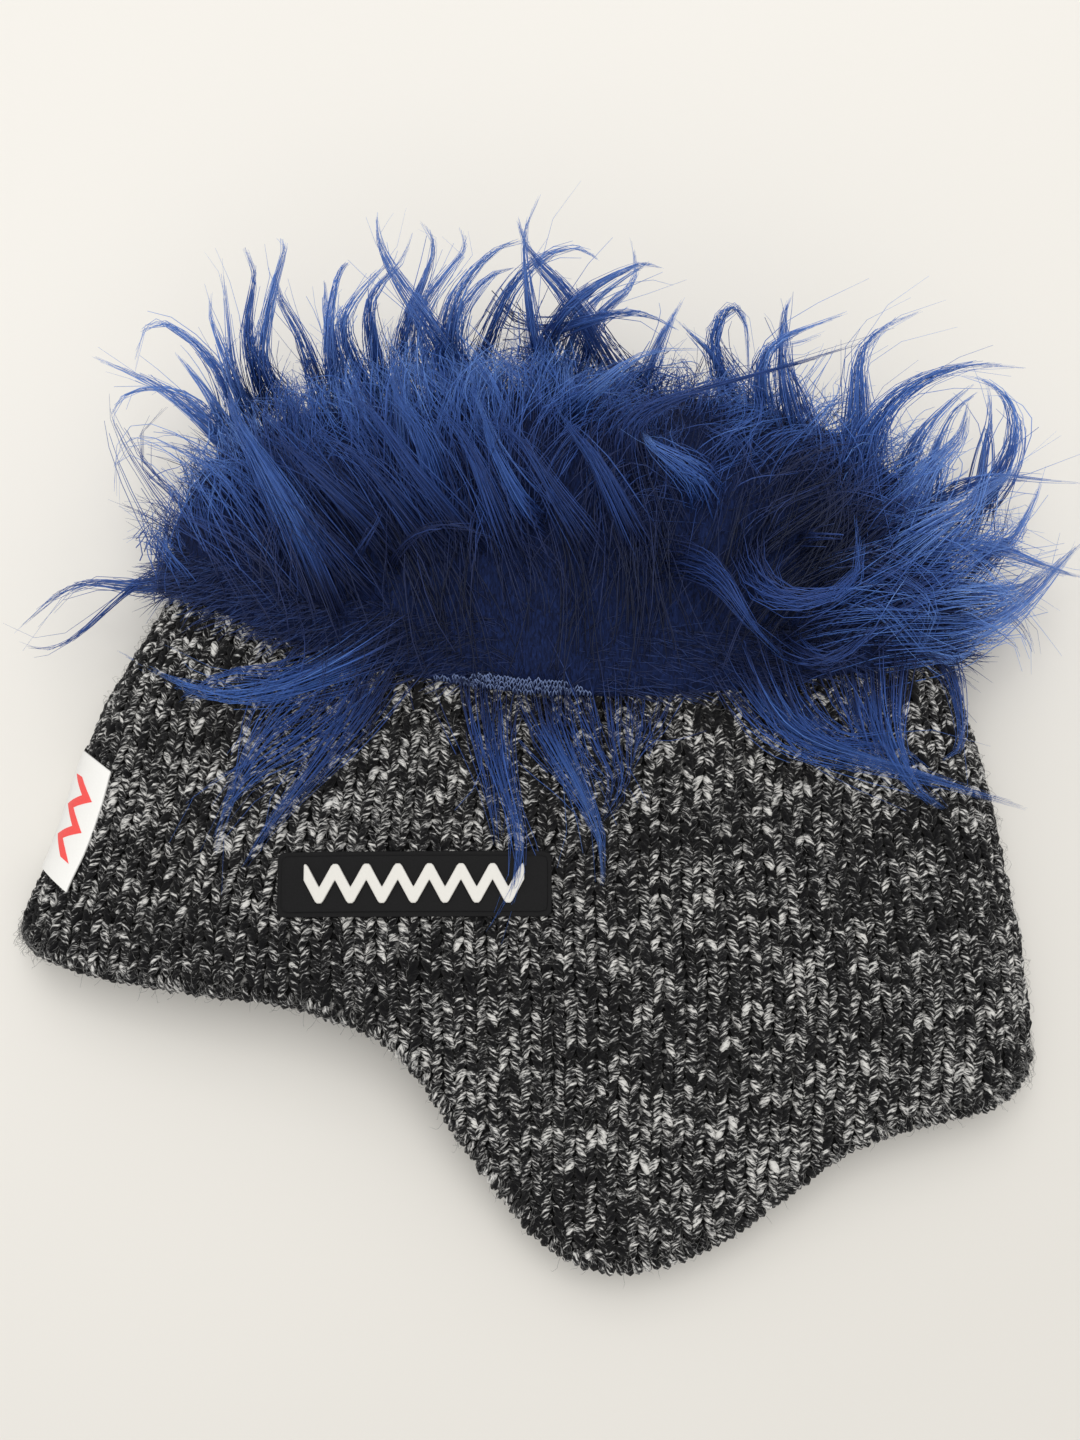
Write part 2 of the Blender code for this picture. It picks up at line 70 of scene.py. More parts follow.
# The patch and the tag
PATCH_LEFT, PATCH_WIDTH = -0.067, 0.070
PATCH_BOTTOM, PATCH_DEPTH = -0.0285, 0.0165
PATCH_X, PATCH_Y = PATCH_LEFT + 0.5 * PATCH_WIDTH, PATCH_BOTTOM + 0.5 * PATCH_DEPTH
PATCH_EDGE = 0.00025
PATCH_PLATES = (
    # name, narrower by, less deep by, corner, height over the cloth, thickness
    ("patch_base", 0.0, 0.0, 0.0016, 0.0006, 0.0008),
    ("patch_face", 0.0022, 0.0024, 0.0012, 0.00125, 0.0007),
)
ZIGZAG_PEAKS = 7
ZIGZAG_WIDTH, ZIGZAG_DEPTH = 0.056, 0.0085
ZIGZAG_BAND, ZIGZAG_POINT = 0.0026, 0.0007
ZIGZAG_HEIGHT, ZIGZAG_WALL, ZIGZAG_EDGE = 0.0019, 0.0011, 0.0003
TAG_BOTTOM, TAG_LENGTH = -0.0125, 0.031
TAG_NEAR_WIDTH, TAG_FAR_WIDTH = 0.013, 0.0055
TAG_SKEW = 0.0085
TAG_LIFT, TAG_WALL, TAG_EDGE = 0.0005, 0.0008, 0.0002
MARK_LEGS, MARK_LENGTH_SHARE = 5, 0.64
MARK_MIDDLE, MARK_SWING, MARK_BAND = 0.315, 0.070, 0.090
MARK_LIFT, MARK_WALL, MARK_EDGE = 0.0014, 0.00018, 0.00004

# Where the folds lie. From_top is the square root of the distance below CROWN_TOP in shares of
# CROWN_TOP. Front and back are shares of HALF_SPAN.
FOLDS = (
    # from_top, front, back
    (0.000, 0.000, 0.000),
    (0.163, 0.340, 0.370),
    (0.249, 0.505, 0.520),
    (0.388, 0.660, 0.672),
    (0.530, 0.722, 0.772),
    (0.639, 0.752, 0.825),
    (0.713, 0.796, 0.850),
    (0.779, 0.846, 0.864),
    (0.840, 0.894, 0.878),
    (0.896, 0.931, 0.899),
    (0.948, 0.959, 0.924),
    (0.997, 0.981, 0.940),
    (1.044, 1.009, 0.952),
    (1.089, 1.045, 0.965),
    (1.131, 1.062, 0.979),
    (1.210, 1.062, 0.986),
    (1.300, 1.062, 0.986),
)

# The brim's edge before its corners are rounded: across from the front fold to the back one, and the
# drop as a share of FLAP_DROP.
BRIM = (
    # across, drop
    (0.000, 0.300),
    (0.044, 0.326),
    (0.071, 0.349),
    (0.100, 0.366),
    (0.150, 0.386),
    (0.200, 0.406),
    (0.250, 0.419),
    (0.290, 0.437),
    (0.320, 0.460),
    (0.345, 0.478),
    (0.370, 0.508),
    (0.390, 0.547),
    (0.414, 0.612),
    (0.438, 0.695),
    (0.461, 0.766),
    (0.485, 0.835),
    (0.510, 0.897),
    (0.533, 0.940),
    (0.556, 0.964),
    (0.585, 0.979),
    (0.610, 0.978),
    (0.650, 0.957),
    (0.700, 0.905),
    (0.750, 0.829),
    (0.800, 0.751),
    (0.850, 0.700),
    (0.900, 0.671),
    (0.950, 0.645),
    (1.000, 0.620),
)

# Dents in the upper side. Across and up are shares of HALF_SPAN and CROWN_TOP, length and width
# shares of HALF_SPAN, depth a share of KNIT_WALL.
DENTS = (
    # across, up, length, width, depth
    (0.42, -0.02, 0.46, 0.085, 0.85),
    (-0.38, 0.10, 0.26, 0.075, 0.55),
    (0.10, -0.55, 0.20, 0.070, 0.40),
    (-0.70, -0.22, 0.16, 0.060, 0.35),
)

# The knitting
WALES = 50
COURSE = 0.0027
WIDEST_WALE = 0.0062
YARN_RADIUS = 0.00098
YARN_FLATNESS = 0.85
UPPER_STITCH_SIDES, LOWER_STITCH_SIDES, BAR_SIDES, HEM_SIDES = 5, 4, 4, 6
LOWEST_YARN, LOWEST_HEM_YARN = 0.0011, 0.0013
STITCHES_TOP, STITCHES_BEHIND_FUR = 0.080, 0.008
STITCHES_OFF_EDGE = 0.9
SHELL_DEPTH, LINING_DEPTH = 0.0014, 0.0039
SHELL_COLUMNS, SHELL_BAND_ROWS, SHELL_CROWN_ROWS = 150, 26, 8
SHELL_OFF_EDGE, LINING_RIB = 0.0006, 0.0006
HEM_LOOP_PITCH = 0.0023
FIBRES = 3000
FIBRE_LENGTHS = 0.0016, 0.0046
FIBRE_RADII = 0.000035, 0.000045, 0.000045, 0.000040, 0.000015
FIBRES_AT_FOLDS, FOLD_ZONE = 0.25, 0.12
FIBRES_AT_EDGE, EDGE_ZONE = 0.3, 0.03

# A stitch's leg. Out is a share of the wale's width, up of COURSE, girth and lift of YARN_RADIUS.
LEG = (
    # girth, out, up, lift
    (0.55, 0.385, -0.80, -0.85),
    (1.00, 0.365, -0.44, -0.53),
    (1.10, 0.270, 0.02, -0.37),
    (1.00, 0.160, 0.40, -0.53),
    (0.60, 0.060, 0.66, -0.89),
)

# The bar in the groove between two wales, in the same shares
BAR = (
    # out, up, lift
    (0.34, 0.10, -1.05),
    (0.50, 0.0, -0.80),
    (0.66, 0.10, -1.05),
)
BAR_GIRTH = 0.80

# How much the yarn varies: its places, its girth and how pale it is
STITCH_SHIFT, YARN_SHIFT, BAR_SHIFT = 0.00022, 0.00010, 0.00015
HEM_SHIFT, HEM_YARN_SHIFT = 0.00014, 0.00008
STITCH_GIRTHS, HEM_GIRTHS = (0.82, 1.15), (0.92, 1.10)
# the bars in the grooves between the wales are painted a little darker, as painted shade in the grooves
STITCH_MARL, LEG_MARL, BAR_GROOVE_SHADE, HEM_MARL = 0.042, 0.030, -0.03, (-0.015, 0.05)
LEG_PLY_LENGTH, LEG_PLY_ROUND, LEG_PLY_TWIST = 4.6, 5.0, 0.8
BAR_PLY, HEM_PLY_LENGTH, HEM_PLY_ROUND, HEM_PLY_TWIST = 1.2, 1.2, 0.9, 0.75
PLY_APART = 400.0

# A loop over the brim's edge. Along is a share of HEM_LOOP_PITCH, inward and out are in millimetres.
HEM_LOOP = (
    # along, inward, out, girth
    (-0.35, 2.90, -0.90, 0.7),
    (-0.25, 1.70, -0.35, 1.0),
    (-0.12, 0.75, -0.55, 1.1),
    (0.00, 0.15, -1.60, 1.1),
    (0.12, 0.30, -2.90, 1.1),
    (0.25, 1.30, -3.50, 1.0),
    (0.35, 2.60, -3.30, 0.7),
)

# The fur
STRAND_RADIUS = 0.00015
STRAND_RINGS = 7
STRAY_SHARE, STRAY_FRIZZ = 0.12, 0.0008
STRAY_LOW, STRAY_HIGH, STRAY_TIP = 0.0012, 0.0032, 0.0052
HAIR_CLEARANCE, TUFT_CLEARANCE, PILE_CLEARANCE = 0.0007, 0.0045, 0.0006
LOCK_SPREAD, FIELD_SPREAD, UNDER_SPREAD = 0.0016, 0.0034, 0.0020
HAIR_TONES = 0.07
FIELD_TUFTS, FIELD_STRANDS = 300, 18
FIELD_LENGTHS = 0.046, 0.072
UNDER_TUFTS, UNDER_STRANDS = 80, 12
UNDER_LENGTHS = 0.026, 0.046
TUFT_STEPS = 0.36, 0.34, 0.32
PELT_COLUMNS, PELT_ROWS = 90, 16
PELT_THICKNESS = 0.62 * PILE
PELT_TOP_GAP = 0.985
LOWEST_FUR = 0.0003
PILE_HAIRS = 4400
PILE_RADII = 0.00014, 0.00014, 0.000098, 0.000028
# The pile is painted darker at the root and paler at the tip, partly as painted shade deep in the fur
PILE_SHADES = 0.04, 0.26, 0.46, 0.66
PILE_LENGTHS = 0.008, 0.016
PILE_RIM_BAND = 0.20
# FOOT_SHADE: how dark the roots of the locks' feet are painted, as painted shade deep in the fur
FOOT_STRANDS, FOOT_GIRTH, FOOT_SHADE = 20, 1.7, 0.20

# The fur's pale backing, where it shows at the rim. From and to are shares of the cloth's length from
# fold to fold, and the loop's points are in millimetres.
BACKING_ROWS, BACKING_PITCH = 3, 0.0034
BACKING_FROM, BACKING_TO = 0.398, 0.558
BACKING_YARN = 0.00017
BACKING_SHIFT, BACKING_YARN_SHIFT = 0.00018, 0.00008
BACKING_ROW_HEIGHT, BACKING_LIFT = 0.013, 0.0026
BACKING_LOOP = (
    # aside, over, out
    (-0.50, -0.60, -0.40),
    (-0.36, 0.10, 0.30),
    (0.00, 0.60, 0.50),
    (0.36, 0.10, 0.30),
    (0.50, -0.60, -0.40),
)

# Where the fur's tufts point on the upper side, in degrees from +Y towards +X
SWEEP = (
    # along, heading
    (0.00, -30.0),
    (0.10, -30.0),
    (0.22, -24.0),
    (0.38, -12.0),
    (0.52, 2.0),
    (0.66, 20.0),
    (0.78, 42.0),
    (0.88, 62.0),
    (1.00, 74.0),
)

# The locks that stand out in the photograph. Each is given by four places that it passes, in the
# photograph's pixels, by its height above the floor at its middle and tip in millimetres, and by how
# thick it is, how many hairs it has and how much paler than the rest it is. A middle or tip height
# below the cap's own surface is lifted onto it, and a middle height of 0 marks a lock that hangs down
# over the knitting.
CURLS = (
    # root_x, root_y, low_x, low_y, high_x, high_y, tip_x, tip_y, middle, tip, girth, hairs, tone
    # the front end, from the wisp at the fold up to the first tall locks
    (215, 563, 150, 582, 85, 588, 18, 628, 22, 12, 0.9, 46, 0.12),
    (208, 568, 130, 590, 66, 640, 20, 650, 18, 8, 0.5, 14, 0.05),
    (196, 560, 180, 505, 143, 452, 165, 424, 30, 30, 0.8, 16, 0.00),
    (225, 560, 170, 520, 122, 440, 104, 400, 30, 34, 2.4, 12, 0.05),
    (228, 500, 180, 452, 128, 442, 122, 506, 36, 26, 2.0, 9, 0.05),
    (236, 455, 201, 418, 150, 383, 95, 355, 40, 46, 0.9, 40, 0.02),
    (222, 445, 180, 392, 125, 398, 118, 448, 34, 30, 0.4, 12, 0.05),
    (236, 430, 212, 362, 165, 328, 133, 368, 50, 56, 0.6, 26, 0.05),
    (240, 445, 214, 405, 195, 375, 171, 350, 44, 50, 0.7, 26, 0.10),
    (252, 430, 232, 377, 216, 335, 214, 291, 52, 60, 0.7, 26, 0.08),
    (258, 420, 233, 370, 226, 310, 223, 255, 48, 50, 0.5, 16, 0.00),
    (272, 410, 252, 356, 250, 300, 242, 248, 56, 66, 0.9, 46, -0.20),
    (288, 405, 262, 345, 280, 275, 275, 230, 60, 72, 0.8, 34, 0.05),
    (320, 400, 303, 350, 285, 300, 273, 266, 52, 52, 0.7, 30, -0.10),
    (344, 405, 332, 350, 330, 305, 320, 280, 44, 40, 0.8, 30, 0.05),
    (354, 410, 330, 345, 337, 287, 350, 253, 58, 64, 0.8, 30, 0.12),
    # the tall locks along the top
    (378, 405, 343, 335, 360, 292, 391, 265, 62, 70, 0.8, 34, 0.08),
    (388, 395, 372, 325, 385, 280, 409, 229, 54, 60, 0.8, 34, 0.02),
    (410, 385, 408, 322, 430, 265, 420, 221, 48, 50, 0.9, 40, -0.12),
    (462, 390, 428, 322, 388, 262, 379, 211, 66, 78, 1.0, 44, -0.02),
    (432, 380, 420, 322, 448, 270, 452, 226, 42, 40, 0.8, 30, 0.08),
    (450, 390, 448, 318, 480, 262, 529, 248, 60, 66, 1.0, 46, 0.05),
    (458, 395, 455, 330, 478, 285, 520, 267, 50, 50, 0.9, 36, 0.10),
    (482, 360, 510, 290, 555, 250, 598, 261, 56, 62, 0.8, 34, 0.00),
    (548, 392, 530, 322, 524, 262, 543, 197, 64, 76, 0.9, 40, -0.10),
    (618, 385, 577, 315, 540, 262, 516, 218, 58, 66, 1.1, 50, -0.14),
    (546, 365, 575, 305, 625, 270, 670, 270, 64, 70, 1.0, 46, 0.02),
    (578, 380, 600, 320, 625, 285, 638, 238, 50, 50, 0.7, 28, 0.10),
    (562, 392, 575, 335, 610, 292, 642, 262, 44, 40, 0.7, 28, 0.10),
    (634, 405, 650, 362, 668, 325, 687, 293, 52, 56, 0.7, 26, 0.00),
    (540, 345, 590, 318, 640, 316, 678, 325, 70, 74, 0.6, 22, -0.10),
    (566, 425, 596, 385, 640, 360, 702, 346, 72, 74, 0.7, 24, 0.00),
    (735, 400, 714, 340, 734, 308, 751, 386, 52, 50, 0.8, 36, -0.06),
    (734, 410, 718, 367, 696, 336, 674, 320, 46, 50, 0.6, 26, -0.05),
    (765, 430, 762, 366, 786, 337, 850, 311, 58, 64, 0.8, 34, -0.05),
    (760, 425, 763, 360, 785, 345, 828, 331, 44, 44, 0.5, 14, 0.00),
    (806, 445, 788, 382, 783, 335, 791, 293, 50, 56, 1.1, 56, -0.16),
    (652, 505, 634, 425, 706, 388, 864, 341, 68, 70, 1.1, 80, -0.60),
    (845, 480, 856, 402, 866, 346, 917, 312, 52, 60, 1.2, 60, -0.12),
    # the back end, from the tall loop round to the fold
    (862, 490, 878, 418, 935, 372, 1027, 371, 56, 60, 1.3, 66, -0.16),
    (978, 505, 1014, 440, 1002, 390, 962, 378, 42, 50, 0.9, 36, 0.00),
    (898, 490, 915, 445, 940, 410, 976, 384, 48, 52, 0.9, 36, 0.08),
    (926, 495, 935, 450, 955, 412, 980, 384, 40, 44, 0.7, 24, 0.10),
    (975, 490, 985, 440, 990, 410, 983, 378, 34, 36, 0.7, 24, 0.08),
    (925, 510, 975, 482, 1025, 478, 1077, 484, 40, 36, 0.6, 26, -0.10),
    (980, 565, 1010, 540, 1028, 515, 1039, 486, 34, 34, 0.8, 30, 0.10),
    (880, 640, 985, 625, 1040, 585, 1082, 543, 26, 20, 1.7, 84, 0.16),
    (875, 580, 950, 545, 1020, 555, 1082, 577, 36, 26, 1.5, 70, 0.10),
    (880, 605, 950, 592, 1005, 592, 1052, 566, 28, 18, 1.7, 76, 0.20),
    (880, 622, 930, 652, 965, 655, 988, 630, 30, 22, 0.8, 36, 0.10),
    (880, 560, 930, 525, 975, 500, 1012, 470, 44, 40, 1.9, 80, 0.26),
    (895, 520, 925, 478, 950, 440, 974, 405, 46, 42, 1.5, 60, 0.26),
    # the paler locks and the swirl on the side that faces up
    (338, 612, 292, 510, 252, 445, 213, 378, 68, 58, 1.15, 84, 0.24),
    (322, 605, 268, 490, 238, 425, 232, 378, 64, 60, 0.8, 40, 0.14),
    (552, 525, 515, 492, 495, 440, 468, 396, 68, 64, 1.0, 56, 0.14),
    (440, 510, 425, 455, 405, 405, 390, 372, 68, 64, 1.1, 50, 0.18),
    (352, 567, 363, 547, 375, 525, 386, 503, 70, 68, 0.5, 16, -0.30),
    (388, 582, 420, 535, 470, 526, 508, 556, 72, 66, 0.4, 9, -0.38),
    (660, 560, 715, 570, 745, 610, 780, 655, 70, 62, 1.3, 50, -0.16),
    (763, 522, 772, 592, 838, 592, 853, 513, 74, 72, 1.3, 60, -0.12),
    (800, 541, 818, 536, 835, 537, 850, 533, 72, 74, 0.5, 14, -0.22),
    (700, 500, 690, 470, 660, 450, 640, 430, 70, 66, 1.4, 46, -0.14),
    (790, 640, 810, 655, 850, 650, 880, 625, 62, 60, 1.2, 36, -0.22),
    # the long sweep from the rim up over the crown
    (402, 566, 352, 508, 305, 462, 258, 424, 69, 66, 1.4, 44, -0.20),
    (378, 598, 328, 545, 288, 495, 256, 466, 67, 62, 1.3, 40, -0.26),
    (446, 560, 398, 500, 350, 452, 296, 414, 71, 68, 1.4, 44, -0.14),
    (478, 556, 430, 490, 386, 432, 336, 392, 71, 68, 1.3, 44, -0.06),
    (520, 566, 492, 500, 464, 440, 420, 388, 71, 68, 1.3, 44, -0.08),
    (600, 570, 566, 505, 524, 452, 470, 408, 71, 68, 1.4, 44, -0.16),
    (646, 560, 616, 500, 582, 440, 548, 386, 71, 68, 1.3, 44, -0.08),
    # the locks that hang over the knitting
    (392, 638, 325, 674, 235, 692, 113, 657, 0, 0, 1.5, 84, 0.18),
    (368, 655, 335, 715, 262, 772, 214, 852, 0, 0, 2.6, 56, 0.00),
    (345, 668, 290, 700, 250, 745, 232, 812, 0, 0, 2.2, 40, 0.05),
    (388, 660, 352, 725, 292, 800, 244, 866, 0, 0, 1.8, 44, -0.05),
    (330, 655, 290, 668, 235, 676, 175, 700, 0, 0, 1.4, 30, 0.00),
    (492, 690, 503, 760, 516, 840, 488, 934, 0, 0, 1.3, 44, 0.04),
    (480, 690, 482, 740, 492, 800, 500, 850, 0, 0, 1.8, 30, -0.06),
    (542, 690, 560, 752, 592, 806, 595, 884, 0, 0, 1.5, 66, 0.18),
    (590, 692, 605, 735, 612, 780, 600, 824, 0, 0, 2.4, 46, -0.10),
    (640, 690, 645, 715, 640, 742, 630, 770, 0, 0, 2.0, 34, -0.12),
    (742, 640, 786, 722, 868, 762, 1030, 808, 0, 0, 1.8, 96, 0.08),
    (770, 665, 815, 730, 870, 745, 930, 770, 0, 0, 1.8, 50, -0.02),
    (880, 655, 884, 720, 902, 768, 946, 802, 0, 0, 1.6, 70, 0.06),
    (850, 665, 858, 710, 872, 745, 890, 775, 0, 0, 1.8, 44, -0.05),
    (934, 652, 956, 690, 958, 730, 944, 764, 0, 0, 0.9, 34, 0.08),
)

# Where the fur is painted darker or paler than around it: painted shade where shadow falls between its clumps,
# painted light where light falls on them
FUR_PAINTED_LIGHT_AND_SHADE = (
    # pixel_x, pixel_y, reach in pixels, tone
    (828, 485, 48, -0.34),
    (800, 555, 30, -0.25),
    (650, 560, 60, -0.12),
    (430, 600, 62, -0.22),
    (345, 540, 42, -0.12),
    (560, 610, 60, -0.10),
    (780, 640, 34, -0.25),
    (880, 580, 42, -0.22),
    (300, 455, 34, -0.12),
    (520, 450, 32, -0.14),
    (598, 430, 26, -0.18),
    (690, 420, 26, -0.22),
    (228, 470, 40, 0.20),
    (950, 470, 42, 0.15),
    (965, 590, 40, 0.12),
    (410, 385, 60, 0.12),
    (560, 380, 36, 0.10),
    (735, 430, 36, 0.12),
)

# Locks with their root above this row, or their tip right of this column, stand tall from broad feet and are painted
# paler, as painted light shining through them
TALL_ROOT_ROW, BACK_TIP_COLUMN = 510.0, 930.0

# The camera, and the pixels of the photograph as it sees them
CAMERA_RISE = math.radians(75.0)
CAMERA_DISTANCE = 0.43
CAMERA_LENS, SENSOR_HEIGHT = 40.0, 36.0
CAMERA_BACK = np.array([0.0, -math.cos(CAMERA_RISE), math.sin(CAMERA_RISE)])
CAMERA_UP = np.array([0.0, math.sin(CAMERA_RISE), math.cos(CAMERA_RISE)])
CAMERA_PLACE = np.array([0.0, 0.026, 0.020]) + CAMERA_DISTANCE * CAMERA_BACK
PHOTO_WIDTH, PHOTO_HEIGHT = 1080, 1440
PHOTO_REACH = CAMERA_LENS / SENSOR_HEIGHT * PHOTO_HEIGHT

# The light and the floor
WORLD_COLOR, WORLD_STRENGTH = (1.0, 0.985, 0.95, 1.0), 0.66
LAMPS = (
    # name, place, size, power, colour
    ("window", (-0.10, 0.75, 1.20), 0.85, 3.0, (1.0, 0.985, 0.955)),
    ("room", (0.50, -2.6, 1.30), 2.4, 12.0, (1.0, 0.98, 0.95)),
    ("ceiling", (0.0, 0.05, 1.6), 1.5, 11.6, (1.0, 0.985, 0.95)),
)
FLOOR_SIZE = 6.0
# The floor's colours, paler towards the back left: painted light, as more light falls there
FLOOR_COLORS = ((0.0, (0.676, 0.661, 0.634)), (0.5, (0.744, 0.729, 0.702)), (1.0, (0.776, 0.761, 0.734)))

chance = np.random.default_rng(11)


# The cap's surface, as in the solids

def smooth_step(share):
    share = np.clip(share, 0.0, 1.0)
    return share * share * (3.0 - 2.0 * share)


def rising(value, start, reach):
    """From 0 at start smoothly to 1 a reach beyond it."""
    return smooth_step((value - start) / reach)


def falling(value, end, reach):
    """From 1 a reach before the end smoothly to 0 at the end."""
    return smooth_step((end - value) / reach)


def mix(first, second, share):
    return first + (second - first) * share


def quarter_round(share):
    return np.sqrt(np.maximum(0.0, 1.0 - (1.0 - np.clip(share, 0.0, 1.0)) ** 2))


def value_between(rows, at, column):
    """A column of a table at places in its first column, along a smooth curve."""
    table = np.array(rows)
    knots, values = table[:, 0], table[:, column]
    at = np.asarray(at, dtype=float)
    i = np.clip(np.searchsorted(knots, at, side="right") - 1, 0, len(knots) - 2)
    before, after = np.maximum(i - 1, 0), np.minimum(i + 2, len(knots) - 1)
    width = knots[i + 1] - knots[i]
    share = np.clip((at - knots[i]) / width, 0.0, 1.0)
    first = (values[i + 1] - values[before]) / (knots[i + 1] - knots[before]) * width
    last = (values[after] - values[i]) / (knots[after] - knots[i]) * width
    square, cube = share ** 2, share ** 3
    held = (2 * cube - 3 * square + 1) * values[i] + (3 * square - 2 * cube) * values[i + 1]
    return held + (cube - 2 * square + share) * first + (cube - square) * last


def from_top(y):
    return np.sqrt(np.maximum(0.0, 1.0 - np.asarray(y) / CROWN_TOP))


def front_x(y):
    return -HALF_SPAN * value_between(FOLDS, from_top(y), 1)


def back_x(y):
    return HALF_SPAN * value_between(FOLDS, from_top(y), 2)


def brim_y(across, far=False):
    drop = FLAP_DROP * value_between(BRIM, across, 1)
    drop = mix(-FRONT_FOLD_END, drop, quarter_round(across / FRONT_CORNER))
    drop = mix(-BACK_FOLD_END, drop, quarter_round((1.0 - across) / BACK_CORNER))
    if far:
        drop = drop - LOWER_SIDE_SETBACK * np.sin(math.pi * across)
    return -drop


def rim_y(across):
    return mix(RIM_FRONT, RIM_BACK, across) - RIM_DIP * np.sin(math.pi * across)


def dent_depth(x, y):
    depth = 0.0
    for across, up, length, width, share in DENTS:
        along = (x - across * HALF_SPAN) / (length * HALF_SPAN)
        aside = (y - up * CROWN_TOP) / (width * HALF_SPAN)
        depth = depth + share * KNIT_WALL * np.exp(-along * along - aside * aside)
    return depth


def lift(y):
    return (PILE + FIT_GAP) * rising(y, LIFT_START, LIFT_END - LIFT_START)


def fold_height(y):
    crown = PILE + FIT_GAP + CROWN_FOLD_HALF
    return mix(BRIM_FOLD_HEIGHT, crown, rising(y, BACK_FOLD_END, CROWN_TOP - BACK_FOLD_END))


def middle_height(y):
    flap = rising(y, -FLAP_DROP, FLAP_DROP - BAND_LOW)
    crown = rising(y, -BAND_LOW, BAND_LOW + CROWN_THICKEST * CROWN_TOP)
    return mix(mix(FLAP_TIP_HEIGHT, BAND_HEIGHT, flap), CROWN_HEIGHT, crown)


def cap_point(across, y, far=False):
    """Points of the cap's outer surface."""
    across, y = np.broadcast_arrays(np.asarray(across, dtype=float), np.asarray(y, dtype=float))
    front, back = front_x(y), back_x(y)
    x = mix(front, back, across)
    roll = quarter_round(np.minimum(x - front, back - x) / FOLD_ROLL)
    nose = quarter_round((CROWN_TOP - y) / CROWN_NOSE)
    middle = fold_height(y)
    if far:
        z = middle - (middle - lift(y)) * roll * nose
    else:
        bulge = 1.0 - np.abs(2.0 * across - 1.0) ** BULGE_POWER
        swell = mix(bulge, roll, ROLL_SHARE) * nose
        z = middle + (middle_height(y) - middle) * swell - dent_depth(x, y) * roll * nose
    return np.stack([x, y, z], axis=-1)


def upper_height(x, y):
    """The height of the upper side over places of the floor, or 0 outside it."""
    x, y = np.broadcast_arrays(np.asarray(x, dtype=float), np.asarray(y, dtype=float))
    front, back = front_x(y), back_x(y)
    width = np.maximum(back - front, 1e-6)
    across = np.clip((x - front) / width, 0.0, 1.0)
    inside = (y < CROWN_TOP) & (x > front) & (x < back) & (y > brim_y(across))
    return np.where(inside, cap_point(across, np.minimum(y, CROWN_TOP), False)[..., 2], 0.0)


# Places along the cloth by its length: 0 at the front fold and 1 at the back fold, at each height

ARC_HEIGHTS = np.linspace(-FLAP_DROP - 0.012, CROWN_TOP - 0.0005, 120)
ARC_STEPS = np.linspace(0.0, 1.0, 241)


def arc_table(far):
    dense = 0.5 - 0.5 * np.cos(math.pi * np.linspace(0.0, 1.0, 601))
    places = cap_point(dense[None, :], ARC_HEIGHTS[:, None], far)
    steps = np.linalg.norm(np.diff(places, axis=1), axis=-1)
    run = np.concatenate([np.zeros((len(ARC_HEIGHTS), 1)), np.cumsum(steps, axis=1)], axis=1)
    return np.stack([np.interp(ARC_STEPS, line / line[-1], dense) for line in run])


ARC_TABLES = {far: arc_table(far) for far in (False, True)}


def across_at(arc, y, far=False):
    """The share across at a share of the cloth's length from fold to fold."""
    table = ARC_TABLES[far]
    arc, y = np.broadcast_arrays(np.clip(arc, 0.0, 1.0), np.asarray(y, dtype=float))
    row = np.clip((y - ARC_HEIGHTS[0]) / (ARC_HEIGHTS[1] - ARC_HEIGHTS[0]), 0, len(ARC_HEIGHTS) - 1.001)
    column = np.clip(arc * (len(ARC_STEPS) - 1), 0, len(ARC_STEPS) - 1.001)
    r, c = row.astype(int), column.astype(int)
    low = mix(table[r, c], table[r, c + 1], column - c)
    high = mix(table[r + 1, c], table[r + 1, c + 1], column - c)
    return mix(low, high, row - r)


def unit(vectors):
    return vectors / np.maximum(np.linalg.norm(vectors, axis=-1, keepdims=True), 1e-12)


def cloth_frame(arc, y, far=False):
    """Points on the cloth with their directions along the courses, up the wales and outwards."""
    step, rise = 0.002, 0.0006
    here = cap_point(across_at(arc, y, far), y, far)
    left, right = np.maximum(arc - step, 0.0), np.minimum(arc + step, 1.0)
    course = unit(cap_point(across_at(right, y, far), y, far) - cap_point(across_at(left, y, far), y, far))
    low, high = y - rise, np.minimum(y + rise, CROWN_TOP - 0.0004)
    wale = unit(cap_point(across_at(arc, high, far), high, far) - cap_point(across_at(arc, low, far), low, far))
    out = np.cross(course, wale)
    if far:
        out = -out
    return here, course, wale, unit(out)


# Meshes from arrays

def mesh_piece(name, points, quads, triangles, material, slot_name, **attributes):
    """A closed mesh piece that rides on the cap. Attributes hold a number or a vector for each point."""
    points = np.asarray(points, dtype=np.float32).reshape(-1, 3)
    quads = np.asarray(quads, dtype=np.int32).reshape(-1, 4)
    triangles = np.asarray(triangles, dtype=np.int32).reshape(-1, 3)
    mesh = bpy.data.meshes.new(name)
    mesh.vertices.add(len(points))
    mesh.vertices.foreach_set("co", points.ravel())
    corners = np.concatenate([quads.ravel(), triangles.ravel()])
    mesh.loops.add(len(corners))
    mesh.loops.foreach_set("vertex_index", corners)
    starts = np.concatenate([np.arange(len(quads)) * 4, 4 * len(quads) + np.arange(len(triangles)) * 3])
    mesh.polygons.add(len(starts))
    mesh.polygons.foreach_set("loop_start", starts.astype(np.int32))
    mesh.update(calc_edges=True)
    mesh.validate()
    for title, values in attributes.items():
        values = np.asarray(values, dtype=np.float32)
        kind = "FLOAT" if values.ndim == 1 else "FLOAT_VECTOR"
        layer = mesh.attributes.new(title, kind, "POINT")
        layer.data.foreach_set("value" if kind == "FLOAT" else "vector", values.ravel())
    mesh.shade_smooth()
    mesh.materials.append(material)
    piece = bpy.data.objects.new(name, mesh)
    bpy.context.scene.collection.objects.link(piece)
    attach(piece, "root")
    return piece


